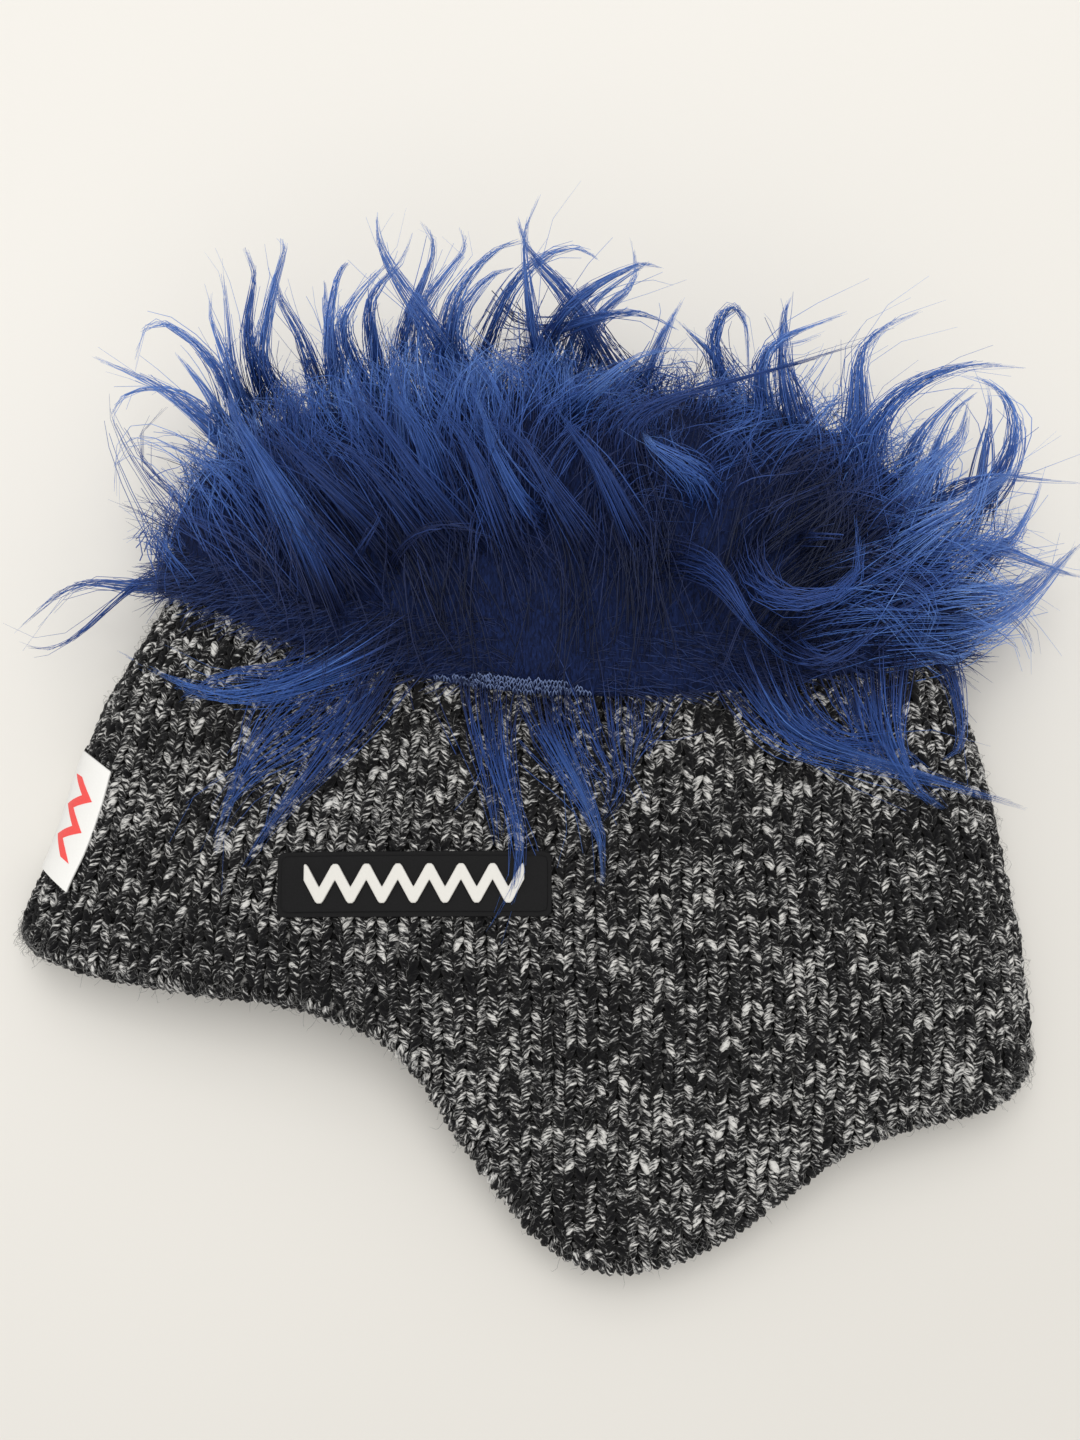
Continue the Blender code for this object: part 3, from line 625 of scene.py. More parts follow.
def tubes(paths, radii, sides, flat=1.0, guide=None):
    """Closed tubes through paths of shape (tubes, rings, 3). Returns points, quads and triangles.

    guide is a direction for each tube across which it lies, and flat how thin it is along that direction.
    """
    count, rings = paths.shape[:2]
    forward = unit(np.gradient(paths, axis=1))
    if guide is None:
        chord = paths[:, -1] - paths[:, 0]
        bend = paths[:, rings // 2] - 0.5 * (paths[:, 0] + paths[:, -1])
        guide = np.cross(chord, bend) + 1e-7 * np.array([0.3, 0.5, 0.8])
    side = unit(np.cross(unit(guide)[:, None, :], forward))
    over = np.cross(forward, side)
    angles = 2.0 * math.pi * np.arange(sides) / sides
    turn = np.cos(angles)[None, None, :, None], np.sin(angles)[None, None, :, None]
    size = radii[:, :, None, None]
    points = paths[:, :, None, :] + size * (turn[0] * side[:, :, None, :] + flat * turn[1] * over[:, :, None, :])
    base = (np.arange(count) * rings * sides)[:, None, None]
    ring = (np.arange(rings - 1) * sides)[None, :, None]
    k = np.arange(sides)[None, None, :]
    n = (k + 1) % sides
    quads = np.stack(np.broadcast_arrays(base + ring + k, base + ring + n, base + ring + sides + n,
                                         base + ring + sides + k), axis=-1).reshape(-1, 4)
    fan = np.arange(1, sides - 1)
    first = (np.arange(count) * rings * sides)[:, None]
    last = first + (rings - 1) * sides
    start_cap = np.stack(np.broadcast_arrays(first, first + fan + 1, first + fan), axis=-1)
    end_cap = np.stack(np.broadcast_arrays(last, last + fan, last + fan + 1), axis=-1)
    triangles = np.concatenate([start_cap.reshape(-1, 3), end_cap.reshape(-1, 3)])
    return points.reshape(-1, 3), quads, triangles


def signed_volume(points, quads, triangles):
    a, b, c, d = (points[quads[:, k]] for k in range(4))
    total = np.einsum("ij,ij->i", a, np.cross(b, c)).sum() + np.einsum("ij,ij->i", a, np.cross(c, d)).sum()
    a, b, c = (points[triangles[:, k]] for k in range(3))
    return (total + np.einsum("ij,ij->i", a, np.cross(b, c)).sum()) / 6.0


def outward(points, quads, triangles):
    """The same faces, turned if they point inwards."""
    if signed_volume(points, quads, triangles) < 0.0:
        return points, quads[:, ::-1], triangles[:, ::-1]
    return points, quads, triangles


def joined(parts):
    """Several (points, quads, triangles) as one."""
    points, quads, triangles, start = [], [], [], 0
    for p, q, t in parts:
        points.append(p)
        quads.append(q + start)
        triangles.append(t + start)
        start += len(p)
    return np.concatenate(points), np.concatenate(quads), np.concatenate(triangles)


def per_point(values, each):
    """A value for each tube, repeated for each of its points."""
    return np.repeat(values, each, axis=0)


def laid(places, shape, first, second, third):
    """Paths that repeat a shape at each place, along three directions of its own."""
    return (places[:, None, :] + shape[..., 0, None] * first[:, None, :] + shape[..., 1, None] * second[:, None, :]
            + shape[..., 2, None] * third[:, None, :])


def shaken(paths, whole, each):
    """The paths, each shifted at random as a whole and then point by point."""
    return paths + chance.normal(0.0, whole, (len(paths), 1, 3)) + chance.normal(0.0, each, paths.shape)


def double_shell(outer, inner, tops):
    """The faces of two walls of rings, joined round their lower edge and each closed at its top."""
    rows, columns = outer.shape[:2]
    count = rows * columns
    points = np.concatenate([outer.reshape(-1, 3), inner.reshape(-1, 3), tops])
    i, k = np.meshgrid(np.arange(rows - 1), np.arange(columns), indexing="ij")
    n = (k + 1) % columns
    wall = np.stack([i * columns + k, i * columns + n, (i + 1) * columns + n, (i + 1) * columns + k], axis=-1)
    wall = wall.reshape(-1, 4)
    k, n, last = k[0], n[0], (rows - 1) * columns
    edge = np.stack([k, count + k, count + n, n], axis=-1)
    quads = np.concatenate([wall, (wall + count)[:, ::-1], edge])
    fans = np.concatenate([np.stack([last + k, last + n, np.full(columns, 2 * count)], axis=-1),
                           np.stack([count + last + n, count + last + k, np.full(columns, 2 * count + 1)], axis=-1)])
    return outward(points, quads, fans)


# Materials

def new_material(name):
    material = bpy.data.materials.new(name)
    material.use_nodes = True
    nodes = material.node_tree.nodes
    return material, nodes, material.node_tree.links, nodes["Principled BSDF"]


def add_node(nodes, kind, **settings):
    node = nodes.new(kind)
    for key, value in settings.items():
        if hasattr(node, key):
            setattr(node, key, value)
        else:
            node.inputs[key.replace("_", " ")].default_value = value
    return node


def color_ramp(nodes, stops):
    ramp = nodes.new("ShaderNodeValToRGB")
    while len(ramp.color_ramp.elements) < len(stops):
        ramp.color_ramp.elements.new(0.5)
    for element, (place, color) in zip(ramp.color_ramp.elements, stops):
        element.position = place
        element.color = (*color, 1.0)
    return ramp


def attribute(nodes, name, output):
    node = nodes.new("ShaderNodeAttribute")
    node.attribute_name = name
    return node.outputs[output]


def math_node(nodes, links, operation, *values):
    node = nodes.new("ShaderNodeMath")
    node.operation = operation
    for socket, value in zip(node.inputs, values):
        if isinstance(value, (int, float)):
            socket.default_value = value
        else:
            links.new(value, socket)
    return node.outputs[0]


def add_bump(nodes, links, shader, height, strength, distance):
    bump = nodes.new("ShaderNodeBump")
    bump.inputs["Strength"].default_value = strength
    bump.inputs["Distance"].default_value = distance
    links.new(height, bump.inputs["Height"])
    links.new(bump.outputs[0], shader.inputs["Normal"])


def grain_of(nodes, links, places, stretch=None, **settings):
    """Noise over places, which a Mapping node stretches where a stretch is given."""
    if stretch:
        mapping = add_node(nodes, "ShaderNodeMapping", Scale=stretch)
        links.new(places, mapping.inputs["Vector"])
        places = mapping.outputs[0]
    noise = add_node(nodes, "ShaderNodeTexNoise", **settings)
    links.new(places, noise.inputs["Vector"])
    return noise.outputs["Fac"]


def color_by(nodes, links, shader, value, stops):
    """Colours the surface by a value, along a ramp."""
    ramp = color_ramp(nodes, stops)
    links.new(value, ramp.inputs["Fac"])
    links.new(ramp.outputs["Color"], shader.inputs["Base Color"])


def set_gloss(shader, roughness, level):
    shader.inputs["Roughness"].default_value = roughness
    shader.inputs["Specular IOR Level"].default_value = level


YARN_COLORS = (
    # place on the ramp, colour
    (0.360, (0.004, 0.004, 0.005)),
    (0.500, (0.013, 0.013, 0.014)),
    (0.545, (0.060, 0.060, 0.063)),
    (0.590, (0.330, 0.330, 0.330)),
    (0.670, (0.720, 0.715, 0.700)),
)
# The hair's and the pile's ramps run from the fur's colour in deep shadow to its colour where light shines on and
# through it: painted shade at the low end, painted light at the high end
HAIR_STOPS = (0.0, 0.30, 0.55, 0.80, 1.0)
HAIR_COLORS = (
    (0.006, 0.009, 0.030), (0.014, 0.025, 0.098), (0.029, 0.073, 0.290), (0.063, 0.155, 0.500),
    (0.155, 0.295, 0.710))
PILE_COLORS = (
    (0.008, 0.011, 0.032), (0.016, 0.024, 0.078), (0.026, 0.048, 0.172), (0.040, 0.094, 0.320),
    (0.060, 0.140, 0.430))
HAIR_SHINE_TINT = (0.80, 0.88, 1.0, 1.0)


def yarn_material(name, dark=1.0):
    """Black and charcoal yarn with pale flecks that run along it. The ply attribute follows the yarn. Dark scales
    its colours down, as painted shade.
    """
    material, nodes, links, shader = new_material(name)
    ply = attribute(nodes, "ply", "Vector")
    marl = attribute(nodes, "marl", "Fac")
    fleck = grain_of(nodes, links, ply, (0.60, 1.45, 1.0), Scale=1.0, Detail=3.0, Roughness=0.62)
    value = math_node(nodes, links, "ADD", fleck, marl)
    color_by(nodes, links, shader, value, [(place, [c * dark for c in color]) for place, color in YARN_COLORS])
    set_gloss(shader, 0.92, 0.10)
    shader.inputs["Sheen Weight"].default_value = 0.06
    shader.inputs["Sheen Roughness"].default_value = 0.5
    fine = grain_of(nodes, links, ply, (1.2, 6.0, 1.0), Scale=1.5, Detail=3.0, Roughness=0.7)
    add_bump(nodes, links, shader, fine, 0.7, 0.0004)
    return material


def fur_material(name, colors, roughness):
    """Blue hair, darker at its root and paler towards its tip, partly its own colour and partly painted shade deep
    in the fur and painted light where light shines through it. Along runs from root to tip and tone differs from
    hair to hair.
    """
    material, nodes, links, shader = new_material(name)
    along, tone = attribute(nodes, "along", "Fac"), attribute(nodes, "tone", "Fac")
    color_by(nodes, links, shader, math_node(nodes, links, "ADD", along, tone), list(zip(HAIR_STOPS, colors)))
    set_gloss(shader, roughness, 0.35)
    shader.inputs["Specular Tint"].default_value = HAIR_SHINE_TINT
    return material


def under_fur_material():
    """The dense felted ground between the tufts, with fine streaks: painted dark, as painted shade deep between the
    hairs.
    """
    material, nodes, links, shader = new_material("blue_under_fur")
    places = nodes.new("ShaderNodeTexCoord").outputs["Object"]
    streak = grain_of(nodes, links, places, (1400.0, 420.0, 420.0), Scale=1.0, Detail=3.0, Roughness=0.6,
                      Distortion=1.2)
    color_by(nodes, links, shader, streak, ((0.35, (0.004, 0.007, 0.026)), (0.75, (0.012, 0.026, 0.105))))
    set_gloss(shader, 0.8, 0.1)
    add_bump(nodes, links, shader, streak, 1.0, 0.0006)
    return material


def cloth_material(name, color, roughness, weave, depth, spread, gloss=0.4):
    """A fine even grain. Weave is how fine it is, depth its bump and spread how much darker it gets."""
    material, nodes, links, shader = new_material(name)
    places = nodes.new("ShaderNodeTexCoord").outputs["Object"]
    grain = grain_of(nodes, links, places, Scale=weave, Detail=3.0, Roughness=0.6)
    color_by(nodes, links, shader, grain, ((0.3, [c * (1.0 - spread) for c in color]), (0.7, color)))
    set_gloss(shader, roughness, gloss)
    add_bump(nodes, links, shader, grain, 0.5, depth)
    return material


KNIT = yarn_material("marled_yarn")
# The cap's body under the stitches and its lining: the same yarn with painted shade, at 0.45 of its brightness
SHELL = yarn_material("marled_yarn_in_shade", 0.45)
FUR = fur_material("blue_hair", HAIR_COLORS, 0.42)
PILE_FUR = fur_material("blue_pile", PILE_COLORS, 0.6)
UNDER_FUR = under_fur_material()
BACKING = cloth_material("pale_blue_backing", (0.20, 0.27, 0.50), 0.85, 1500.0, 0.0002, 0.4, 0.1)
FIBRE = cloth_material("wool_fibre", (0.30, 0.30, 0.30), 0.9, 900.0, 0.0001, 0.5)
PATCH_BLACK = cloth_material("patch_black", (0.0075, 0.0075, 0.0085), 0.7, 2600.0, 0.00012, 0.4, 0.16)
PATCH_WHITE = cloth_material("raised_white", (0.68, 0.67, 0.64), 0.42, 1800.0, 0.00004, 0.03)
TAG_WHITE = cloth_material("tag_white", (0.84, 0.84, 0.83), 0.55, 2200.0, 0.00005, 0.03)
TAG_RED = cloth_material("tag_red", (0.90, 0.085, 0.080), 0.5, 1800.0, 0.00004, 0.1)


# The cap's body: an outer and an inner face a wall apart, joined round the brim

def body_grid(depth, rib):
    """Rings of points round the cap at a depth below its surface, from the brim to the top of the crown."""
    arcs = np.linspace(0.0, 1.0, SHELL_COLUMNS + 1)
    band = np.linspace(0.0, 1.0, SHELL_BAND_ROWS + 1)
    crown = np.sin(0.5 * math.pi * np.arange(1, SHELL_CROWN_ROWS) / SHELL_CROWN_ROWS)
    rings = []
    for below_rim, share in [(True, share) for share in band] + [(False, share) for share in crown]:
        sides = []
        for far in (False, True):
            arc = arcs if not far else arcs[-2:0:-1]
            across = across_at(arc, 0.0, far)
            for _ in range(2):
                if below_rim:
                    y = mix(brim_y(across, far) + SHELL_OFF_EDGE, rim_y(across), share)
                else:
                    y = mix(rim_y(across), CROWN_TOP, share)
                across = across_at(arc, y, far)
            here, _, _, out = cloth_frame(arc, y, far)
            wave = rib * (0.5 - 0.5 * np.cos(2.0 * math.pi * WALES * arc))[:, None]
            sides.append(here - out * (depth - wave))
        rings.append(np.concatenate(sides))
    return np.stack(rings), cap_point(0.5, CROWN_TOP) - np.array([0.0, depth, 0.0])


def make_body():
    outer, outer_top = body_grid(SHELL_DEPTH, 0.0)
    inner, inner_top = body_grid(LINING_DEPTH, LINING_RIB)
    points, quads, triangles = double_shell(outer, inner, [outer_top, inner_top])
    ply = points * 1000.0 * np.array([0.9, 0.35, 1.0])
    marl = chance.normal(0.0, 0.02, len(points))
    piece = mesh_piece("knit_body", points, quads, triangles, SHELL, "marled_knit", ply=ply, marl=marl)
    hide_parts("knit_cap")


# The stitches: two legs that meet at the top, and the bar in the groove between two wales

def marl_of(arc, y, far):
    """How pale the yarn is at places: slow bands along the courses, a jump from stitch to stitch, and a band of
    painted shade along the crease of the long dent.
    """
    shift = 3.1 if far else 0.0
    row = y / COURSE
    bands = 0.35 * np.sin(0.23 * row + 1.7 + shift) + 0.25 * np.sin(0.61 * row + 5.0 * arc + shift)
    clouds = 0.3 * np.sin(9.0 * arc + 0.31 * row) + 0.3 * np.sin(17.0 * arc - 0.19 * row + 2.0)
    # painted shade: a darker band where the crease of the long dent runs across the upper side, behind the middle
    crease_painted_shade = 0.045 * np.exp(-((y + 0.009) / 0.0065) ** 2) * rising(arc, 0.48, 0.08)
    return 0.022 * (bands + clouds) - crease_painted_shade + chance.normal(0.0, STITCH_MARL, np.shape(y))


def stitch_places(far):
    arcs, heights = [], []
    for wale in range(WALES):
        arc = (wale + 0.5) / WALES
        y = np.arange(-FLAP_DROP - 0.010, STITCHES_TOP, COURSE) + COURSE * (0.25 if wale % 2 else 0.0)
        across = across_at(arc, y, far)
        keep = y > brim_y(across, far) + STITCHES_OFF_EDGE * COURSE
        keep = keep & (y < rim_y(across) + STITCHES_BEHIND_FUR)
        arcs.append(np.full(keep.sum(), arc))
        heights.append(y[keep])
    return np.concatenate(arcs), np.concatenate(heights)


def stitch_shape(wide, out, up, lift):
    """A stitch's path along the course, up the wale and out of the cloth, for each stitch's width."""
    return np.stack(np.broadcast_arrays(wide * out, COURSE * up, YARN_RADIUS * lift), axis=-1)


def ply_places(along, turn, twist, count):
    """The yarn's own coordinates at each point of count tubes: along it, round it, and apart for each tube."""
    apart = chance.uniform(0.0, PLY_APART, count)[:, None, None]
    around = turn[None, None, :] + twist * along[None, :, None]
    return np.stack(np.broadcast_arrays(along[None, :, None], around, apart), axis=-1).reshape(-1, 3)


def yarn_piece(name, parts, plies, shades):
    piece = mesh_piece(name, *joined(parts), KNIT, "marled_knit",
                       ply=np.concatenate(plies), marl=np.concatenate(shades))
    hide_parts("knit_cap")


def make_stitches(far):
    arc, y = stitch_places(far)
    here, course, wale, out = cloth_frame(arc, y, far)
    right, left = across_at(arc + 0.5 / WALES, y, far), across_at(arc - 0.5 / WALES, y, far)
    pitch = np.linalg.norm(cap_point(right, y, far) - cap_point(left, y, far), axis=-1)
    pitch = np.minimum(pitch, WIDEST_WALE)
    leg, bar = np.array(LEG[::2] if far else LEG), np.array(BAR)
    sides = LOWER_STITCH_SIDES if far else UPPER_STITCH_SIDES
    marl = marl_of(arc, y, far)
    for half, chosen in (("front", arc < 0.5), ("back", arc >= 0.5)):
        count = chosen.sum()
        place, courses, wales, outs = here[chosen], course[chosen], wale[chosen], out[chosen]
        wide = pitch[chosen][:, None]
        parts, plies, shades = [], [], []
        for mirror in (-1.0, 1.0):
            shape = stitch_shape(wide, mirror * leg[:, 1], leg[:, 2], leg[:, 3])
            path = shaken(laid(place, shape, courses, wales, outs), STITCH_SHIFT, YARN_SHIFT)
            path[..., 2] = np.maximum(path[..., 2], LOWEST_YARN)
            radii = YARN_RADIUS * leg[:, 0] * chance.uniform(*STITCH_GIRTHS, (count, 1))
            parts.append(outward(*tubes(path, radii, sides, YARN_FLATNESS, outs + 0.001 * courses)))
            along = np.linspace(0.0, LEG_PLY_LENGTH, len(leg))
            turn = np.arange(sides) / sides * LEG_PLY_ROUND
            plies.append(ply_places(along, turn, LEG_PLY_TWIST * mirror, count))
            shades.append(per_point(marl[chosen] + chance.normal(0.0, LEG_MARL, count), len(leg) * sides))
        if not far:
            path = laid(place, stitch_shape(wide, *bar.T), courses, wales, outs)
            path = path + chance.normal(0.0, BAR_SHIFT, (count, 1, 3))
            radii = np.full((count, len(bar)), BAR_GIRTH * YARN_RADIUS)
            parts.append(outward(*tubes(path, radii, BAR_SIDES, guide=outs)))
            plies.append(ply_places(BAR_PLY * np.arange(len(bar)), BAR_PLY * np.arange(BAR_SIDES), 0.0, count))
            shades.append(per_point(marl[chosen] + BAR_GROOVE_SHADE, len(bar) * BAR_SIDES))
        yarn_piece("stitches_%s_%s" % ("lower" if far else "upper", half), parts, plies, shades)


def make_hem():
    """Loops of yarn that turn over the brim's edge, on both sides of the cap."""
    loop = np.array(HEM_LOOP)
    shape = loop[None, :, :3] * np.array([HEM_LOOP_PITCH, 0.001, 0.001])
    step, rise = 0.0015, 0.0012
    parts, plies, shades = [], [], []
    for far in (False, True):
        across = np.linspace(0.0, 1.0, 1500)
        edge = cap_point(across, brim_y(across, far), far)
        run = np.concatenate([[0.0], np.cumsum(np.linalg.norm(np.diff(edge, axis=0), axis=-1))])
        count = int(run[-1] / HEM_LOOP_PITCH)
        at = np.interp((np.arange(count) + 0.5) * HEM_LOOP_PITCH, run, across)
        y = brim_y(at, far)
        here = cap_point(at, y, far)
        after, before = np.minimum(at + step, 1.0), np.maximum(at - step, 0.0)
        along = unit(cap_point(after, brim_y(after, far), far) - cap_point(before, brim_y(before, far), far))
        up_cloth = cap_point(at, y + rise, far) - here
        out = unit(np.cross(along, up_cloth)) * (-1.0 if far else 1.0)
        inward = unit(np.cross(out, along))
        inward = inward * np.sign(np.einsum("ij,ij->i", inward, up_cloth))[:, None]
        path = shaken(laid(here, shape, along, inward, out), HEM_SHIFT, HEM_YARN_SHIFT)
        path[..., 2] = np.maximum(path[..., 2], LOWEST_HEM_YARN)
        radii = YARN_RADIUS * loop[:, 3] * chance.uniform(*HEM_GIRTHS, (count, 1))
        parts.append(outward(*tubes(path, radii, HEM_SIDES, guide=along)))
        lengthwise, around = HEM_PLY_LENGTH * np.arange(len(loop)), HEM_PLY_ROUND * np.arange(HEM_SIDES)
        plies.append(ply_places(lengthwise, around, HEM_PLY_TWIST, count))
        shades.append(per_point(chance.normal(*HEM_MARL, count), len(loop) * HEM_SIDES))
    yarn_piece("hem_loops", parts, plies, shades)


def make_fibres():
    """Short loose fibres that stand off the yarn and blur the cap's outline."""
    count = FIBRES
    far = np.arange(count) % 3 == 2
    arc = chance.uniform(0.0, 1.0, count)
    fold = chance.uniform(0.0, 1.0, count) < FIBRES_AT_FOLDS
    arc = np.where(fold, np.where(arc < 0.5, arc * FOLD_ZONE, 1.0 - (1.0 - arc) * FOLD_ZONE), arc)
    starts, outs, asides = [], [], []
    for side in (False, True):
        chosen = arc[far == side]
        across = across_at(chosen, -0.03, side)
        share = chance.uniform(0.0, 1.0, len(chosen))
        at_edge = chance.uniform(0.0, 1.0, len(chosen)) < FIBRES_AT_EDGE
        share = np.where(at_edge, EDGE_ZONE * share, share)
        y = mix(brim_y(across, side), rim_y(across), share)
        here, course, wale, out = cloth_frame(chosen, y, side)
        starts.append(here)
        outs.append(out - (share < EDGE_ZONE)[:, None] * 0.8 * wale)
        aside = course * chance.normal(0.0, 1.0, (len(chosen), 1))
        asides.append(aside + wale * chance.normal(0.0, 1.0, (len(chosen), 1)))
    start, out, aside = np.concatenate(starts), unit(np.concatenate(outs)), unit(np.concatenate(asides))
    length = chance.uniform(*FIBRE_LENGTHS, (count, 1))[:, None, :]
    t = np.linspace(0.0, 1.0, len(FIBRE_RADII))[None, :, None]
    rise = chance.uniform(0.15, 0.60, (count, 1))[:, None, :]
    path = start[:, None, :] + length * t * aside[:, None, :]
    path = path + length * rise * np.sin(math.pi * t * 0.9) * out[:, None, :]
    path = path + 0.00025 * chance.normal(0.0, 1.0, path.shape) * t
    path[..., 2] = np.maximum(path[..., 2], 0.0001)
    radii = np.array(FIBRE_RADII)[None, :] * np.ones((count, 1))
    x, y = start[:, 0], start[:, 1]
    by_tag = (x < front_x(y) + TAG_NEAR_WIDTH + 0.005) & (y > TAG_BOTTOM - 0.012)
    by_tag = by_tag & (y < TAG_BOTTOM + TAG_LENGTH + 0.010)
    by_patch = (np.abs(x - PATCH_X) < 0.5 * PATCH_WIDTH + 0.002) & (start[:, 2] > 0.02)
    by_patch = by_patch & (np.abs(y - PATCH_Y) < 0.5 * PATCH_DEPTH + 0.002)
    clear = ~(by_tag | by_patch)
    mesh_piece("wool_fibres", *outward(*tubes(path[clear], radii[clear], 3)), FIBRE, "marled_knit")


# The fur

def pile_share(up):
    return mix(PILE_RIM_SHARE, 1.0, np.minimum(1.0, up / PILE_FULL_AT))


def pelt_point(across, up, far, depth):
    """Points at a depth above the cloth, and the outward direction there. Up runs from the rim to the top."""
    y = mix(rim_y(across), CROWN_TOP, np.minimum(up, PELT_TOP_GAP))
    small = 0.002
    here = cap_point(across, y, far)
    aside = cap_point(np.minimum(across + small, 1.0), y, far) - cap_point(np.maximum(across - small, 0.0), y, far)
    high = np.minimum(y + small, CROWN_TOP - 0.0002)
    along = cap_point(across, high, far) - cap_point(across, y - small, far)
    out = unit(np.cross(aside, along)) * (-1.0 if far else 1.0)
    return here + out * np.asarray(depth)[..., None], out


def make_pelt():
    """The backing that the hair stands on, from the rim of the fur to the top of the crown."""
    arcs = np.linspace(0.0, 1.0, PELT_COLUMNS + 1)
    shares = np.concatenate([[0.0, 0.012], np.sin(0.5 * math.pi * np.arange(1, PELT_ROWS) / PELT_ROWS)])
    walls = []
    for thick in (PELT_THICKNESS, 0.0):
        rings = []
        for share in shares:
            sides = []
            for far in (False, True):
                arc = arcs if not far else arcs[-2:0:-1]
                across = across_at(arc, 0.03, far)
                up = np.full(len(arc), share)
                level = FIT_GAP + thick * (0.25 if share == 0.0 else 1.0) * pile_share(up)
                ripple = 0.0006 * np.sin(37.0 * arc + 11.0 * share) * np.sin(23.0 * arc + 3.0) * (thick > 0.0)
                sides.append(pelt_point(across, up, far, level + ripple)[0])
            rings.append(np.concatenate(sides))
        walls.append(np.stack(rings))
    tops = [cap_point(0.5, CROWN_TOP) + np.array([0.0, height, 0.0]) for height in (PELT_THICKNESS, FIT_GAP)]
    points, quads, triangles = double_shell(*walls, tops)
    points[:, 2] = np.maximum(points[:, 2], LOWEST_FUR)
    piece = mesh_piece("fur_pelt", points, quads, triangles, UNDER_FUR, "blue_fur")
    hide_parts("fur_crown")


def bezier(points, t):
    """Points of cubic curves. points has the shape (curves, 4, 3)."""
    a, b, c, d = (points[:, k][:, None, :] for k in range(4))
    s = 1.0 - t
    return s ** 3 * a + 3 * s ** 2 * t * b + 3 * s * t ** 2 * c + t ** 3 * d


def seen_at(pixel_x, pixel_y, height):
    """The places at given heights that the camera sees at the photograph's pixels."""
    right_share = (pixel_x - 0.5 * PHOTO_WIDTH) / PHOTO_REACH
    up_share = (0.5 * PHOTO_HEIGHT - pixel_y) / PHOTO_REACH
    ray = right_share[..., None] * np.array([1.0, 0.0, 0.0]) + up_share[..., None] * CAMERA_UP - CAMERA_BACK
    return CAMERA_PLACE + ray * ((height - CAMERA_PLACE[2]) / ray[..., 2])[..., None]


def painted_light_and_shade_at(places):
    """How much paler the fur is at places, from the table of painted light and shade."""
    away = places - CAMERA_PLACE
    reach = PHOTO_REACH / -(away @ CAMERA_BACK)
    pixel_x = 0.5 * PHOTO_WIDTH + reach * away[..., 0]
    pixel_y = 0.5 * PHOTO_HEIGHT - reach * (away @ CAMERA_UP)
    tone = 0.0
    for x, y, wide, change in FUR_PAINTED_LIGHT_AND_SHADE:
        tone = tone + change * np.exp(-((pixel_x - x) ** 2 + (pixel_y - y) ** 2) / (2.0 * wide * wide))
    return tone


def over_the_cloth(places, clear):
    """The same places, no lower than a clearance above the cap's upper side, or the floor beside it."""
    cover = upper_height(places[..., 0], places[..., 1])
    places[..., 2] = np.maximum(places[..., 2], np.where(cover > 0.0, cover + clear, clear))
    return places


def cubic_through(q):
    """The cubic curves through the four places of each row."""
    first = (-5.0 * q[:, 0] + 18.0 * q[:, 1] - 9.0 * q[:, 2] + 2.0 * q[:, 3]) / 6.0
    second = (2.0 * q[:, 0] - 9.0 * q[:, 1] + 18.0 * q[:, 2] - 5.0 * q[:, 3]) / 6.0
    return np.stack([q[:, 0], first, second, q[:, 3]], axis=1)


def curl_places():
    """The four places of each row of the table of locks."""
    rows = np.array(CURLS, dtype=float)
    x, y = rows[:, 0:8:2], rows[:, 1:8:2]
    height = np.full(x.shape, 0.050)
    for _ in range(4):
        places = seen_at(x, y, height)
        cover = upper_height(places[..., 0], places[..., 1])
        cover = np.where(cover > 0.0, cover, 0.020)
        height[:, 0] = cover[:, 0] + 0.15 * PILE
        middle = np.maximum(0.001 * rows[:, 8], cover[:, 1:3].max(axis=1) + 0.0016)
        height[:, 3] = np.maximum(0.001 * rows[:, 9], np.where(rows[:, 8] > 0.0, 0.0, cover[:, 3] + 0.0012))
        height[:, 1] = mix(height[:, 0], middle, 0.8)
        height[:, 2] = mix(middle, height[:, 3], 0.3)
    return seen_at(x, y, height), rows[:, 10], rows[:, 11].astype(int), rows[:, 12]


def lock_feet(places):
    """Broad feet that the tall locks rise from, spread over the fur round their roots."""
    root, low, high = places[:, 0], places[:, 1], places[:, 2]
    feet = np.stack([root + 0.9 * (root - low), root, low, mix(low, high, 0.6)], axis=1)
    cover = upper_height(feet[:, :2, 0], feet[:, :2, 1])
    feet[:, :2, 2] = np.where(cover > 0.0, cover, 0.020) + np.array([0.15 * PILE, 0.011])
    return feet


def heading_vectors(heading, rise):
    heading, rise = np.radians(heading), np.radians(rise)
    return np.stack([np.cos(rise) * np.sin(heading), np.cos(rise) * np.cos(heading), np.sin(rise)], axis=-1)


def tuft_curves(root, length, ways):
    """Curves that leave their roots in three steps, each step in a direction of its own."""
    places = [root]
    for way, step in zip(ways, TUFT_STEPS):
        places.append(places[-1] + way * (step * length)[:, None])
    return np.stack(places, axis=1)


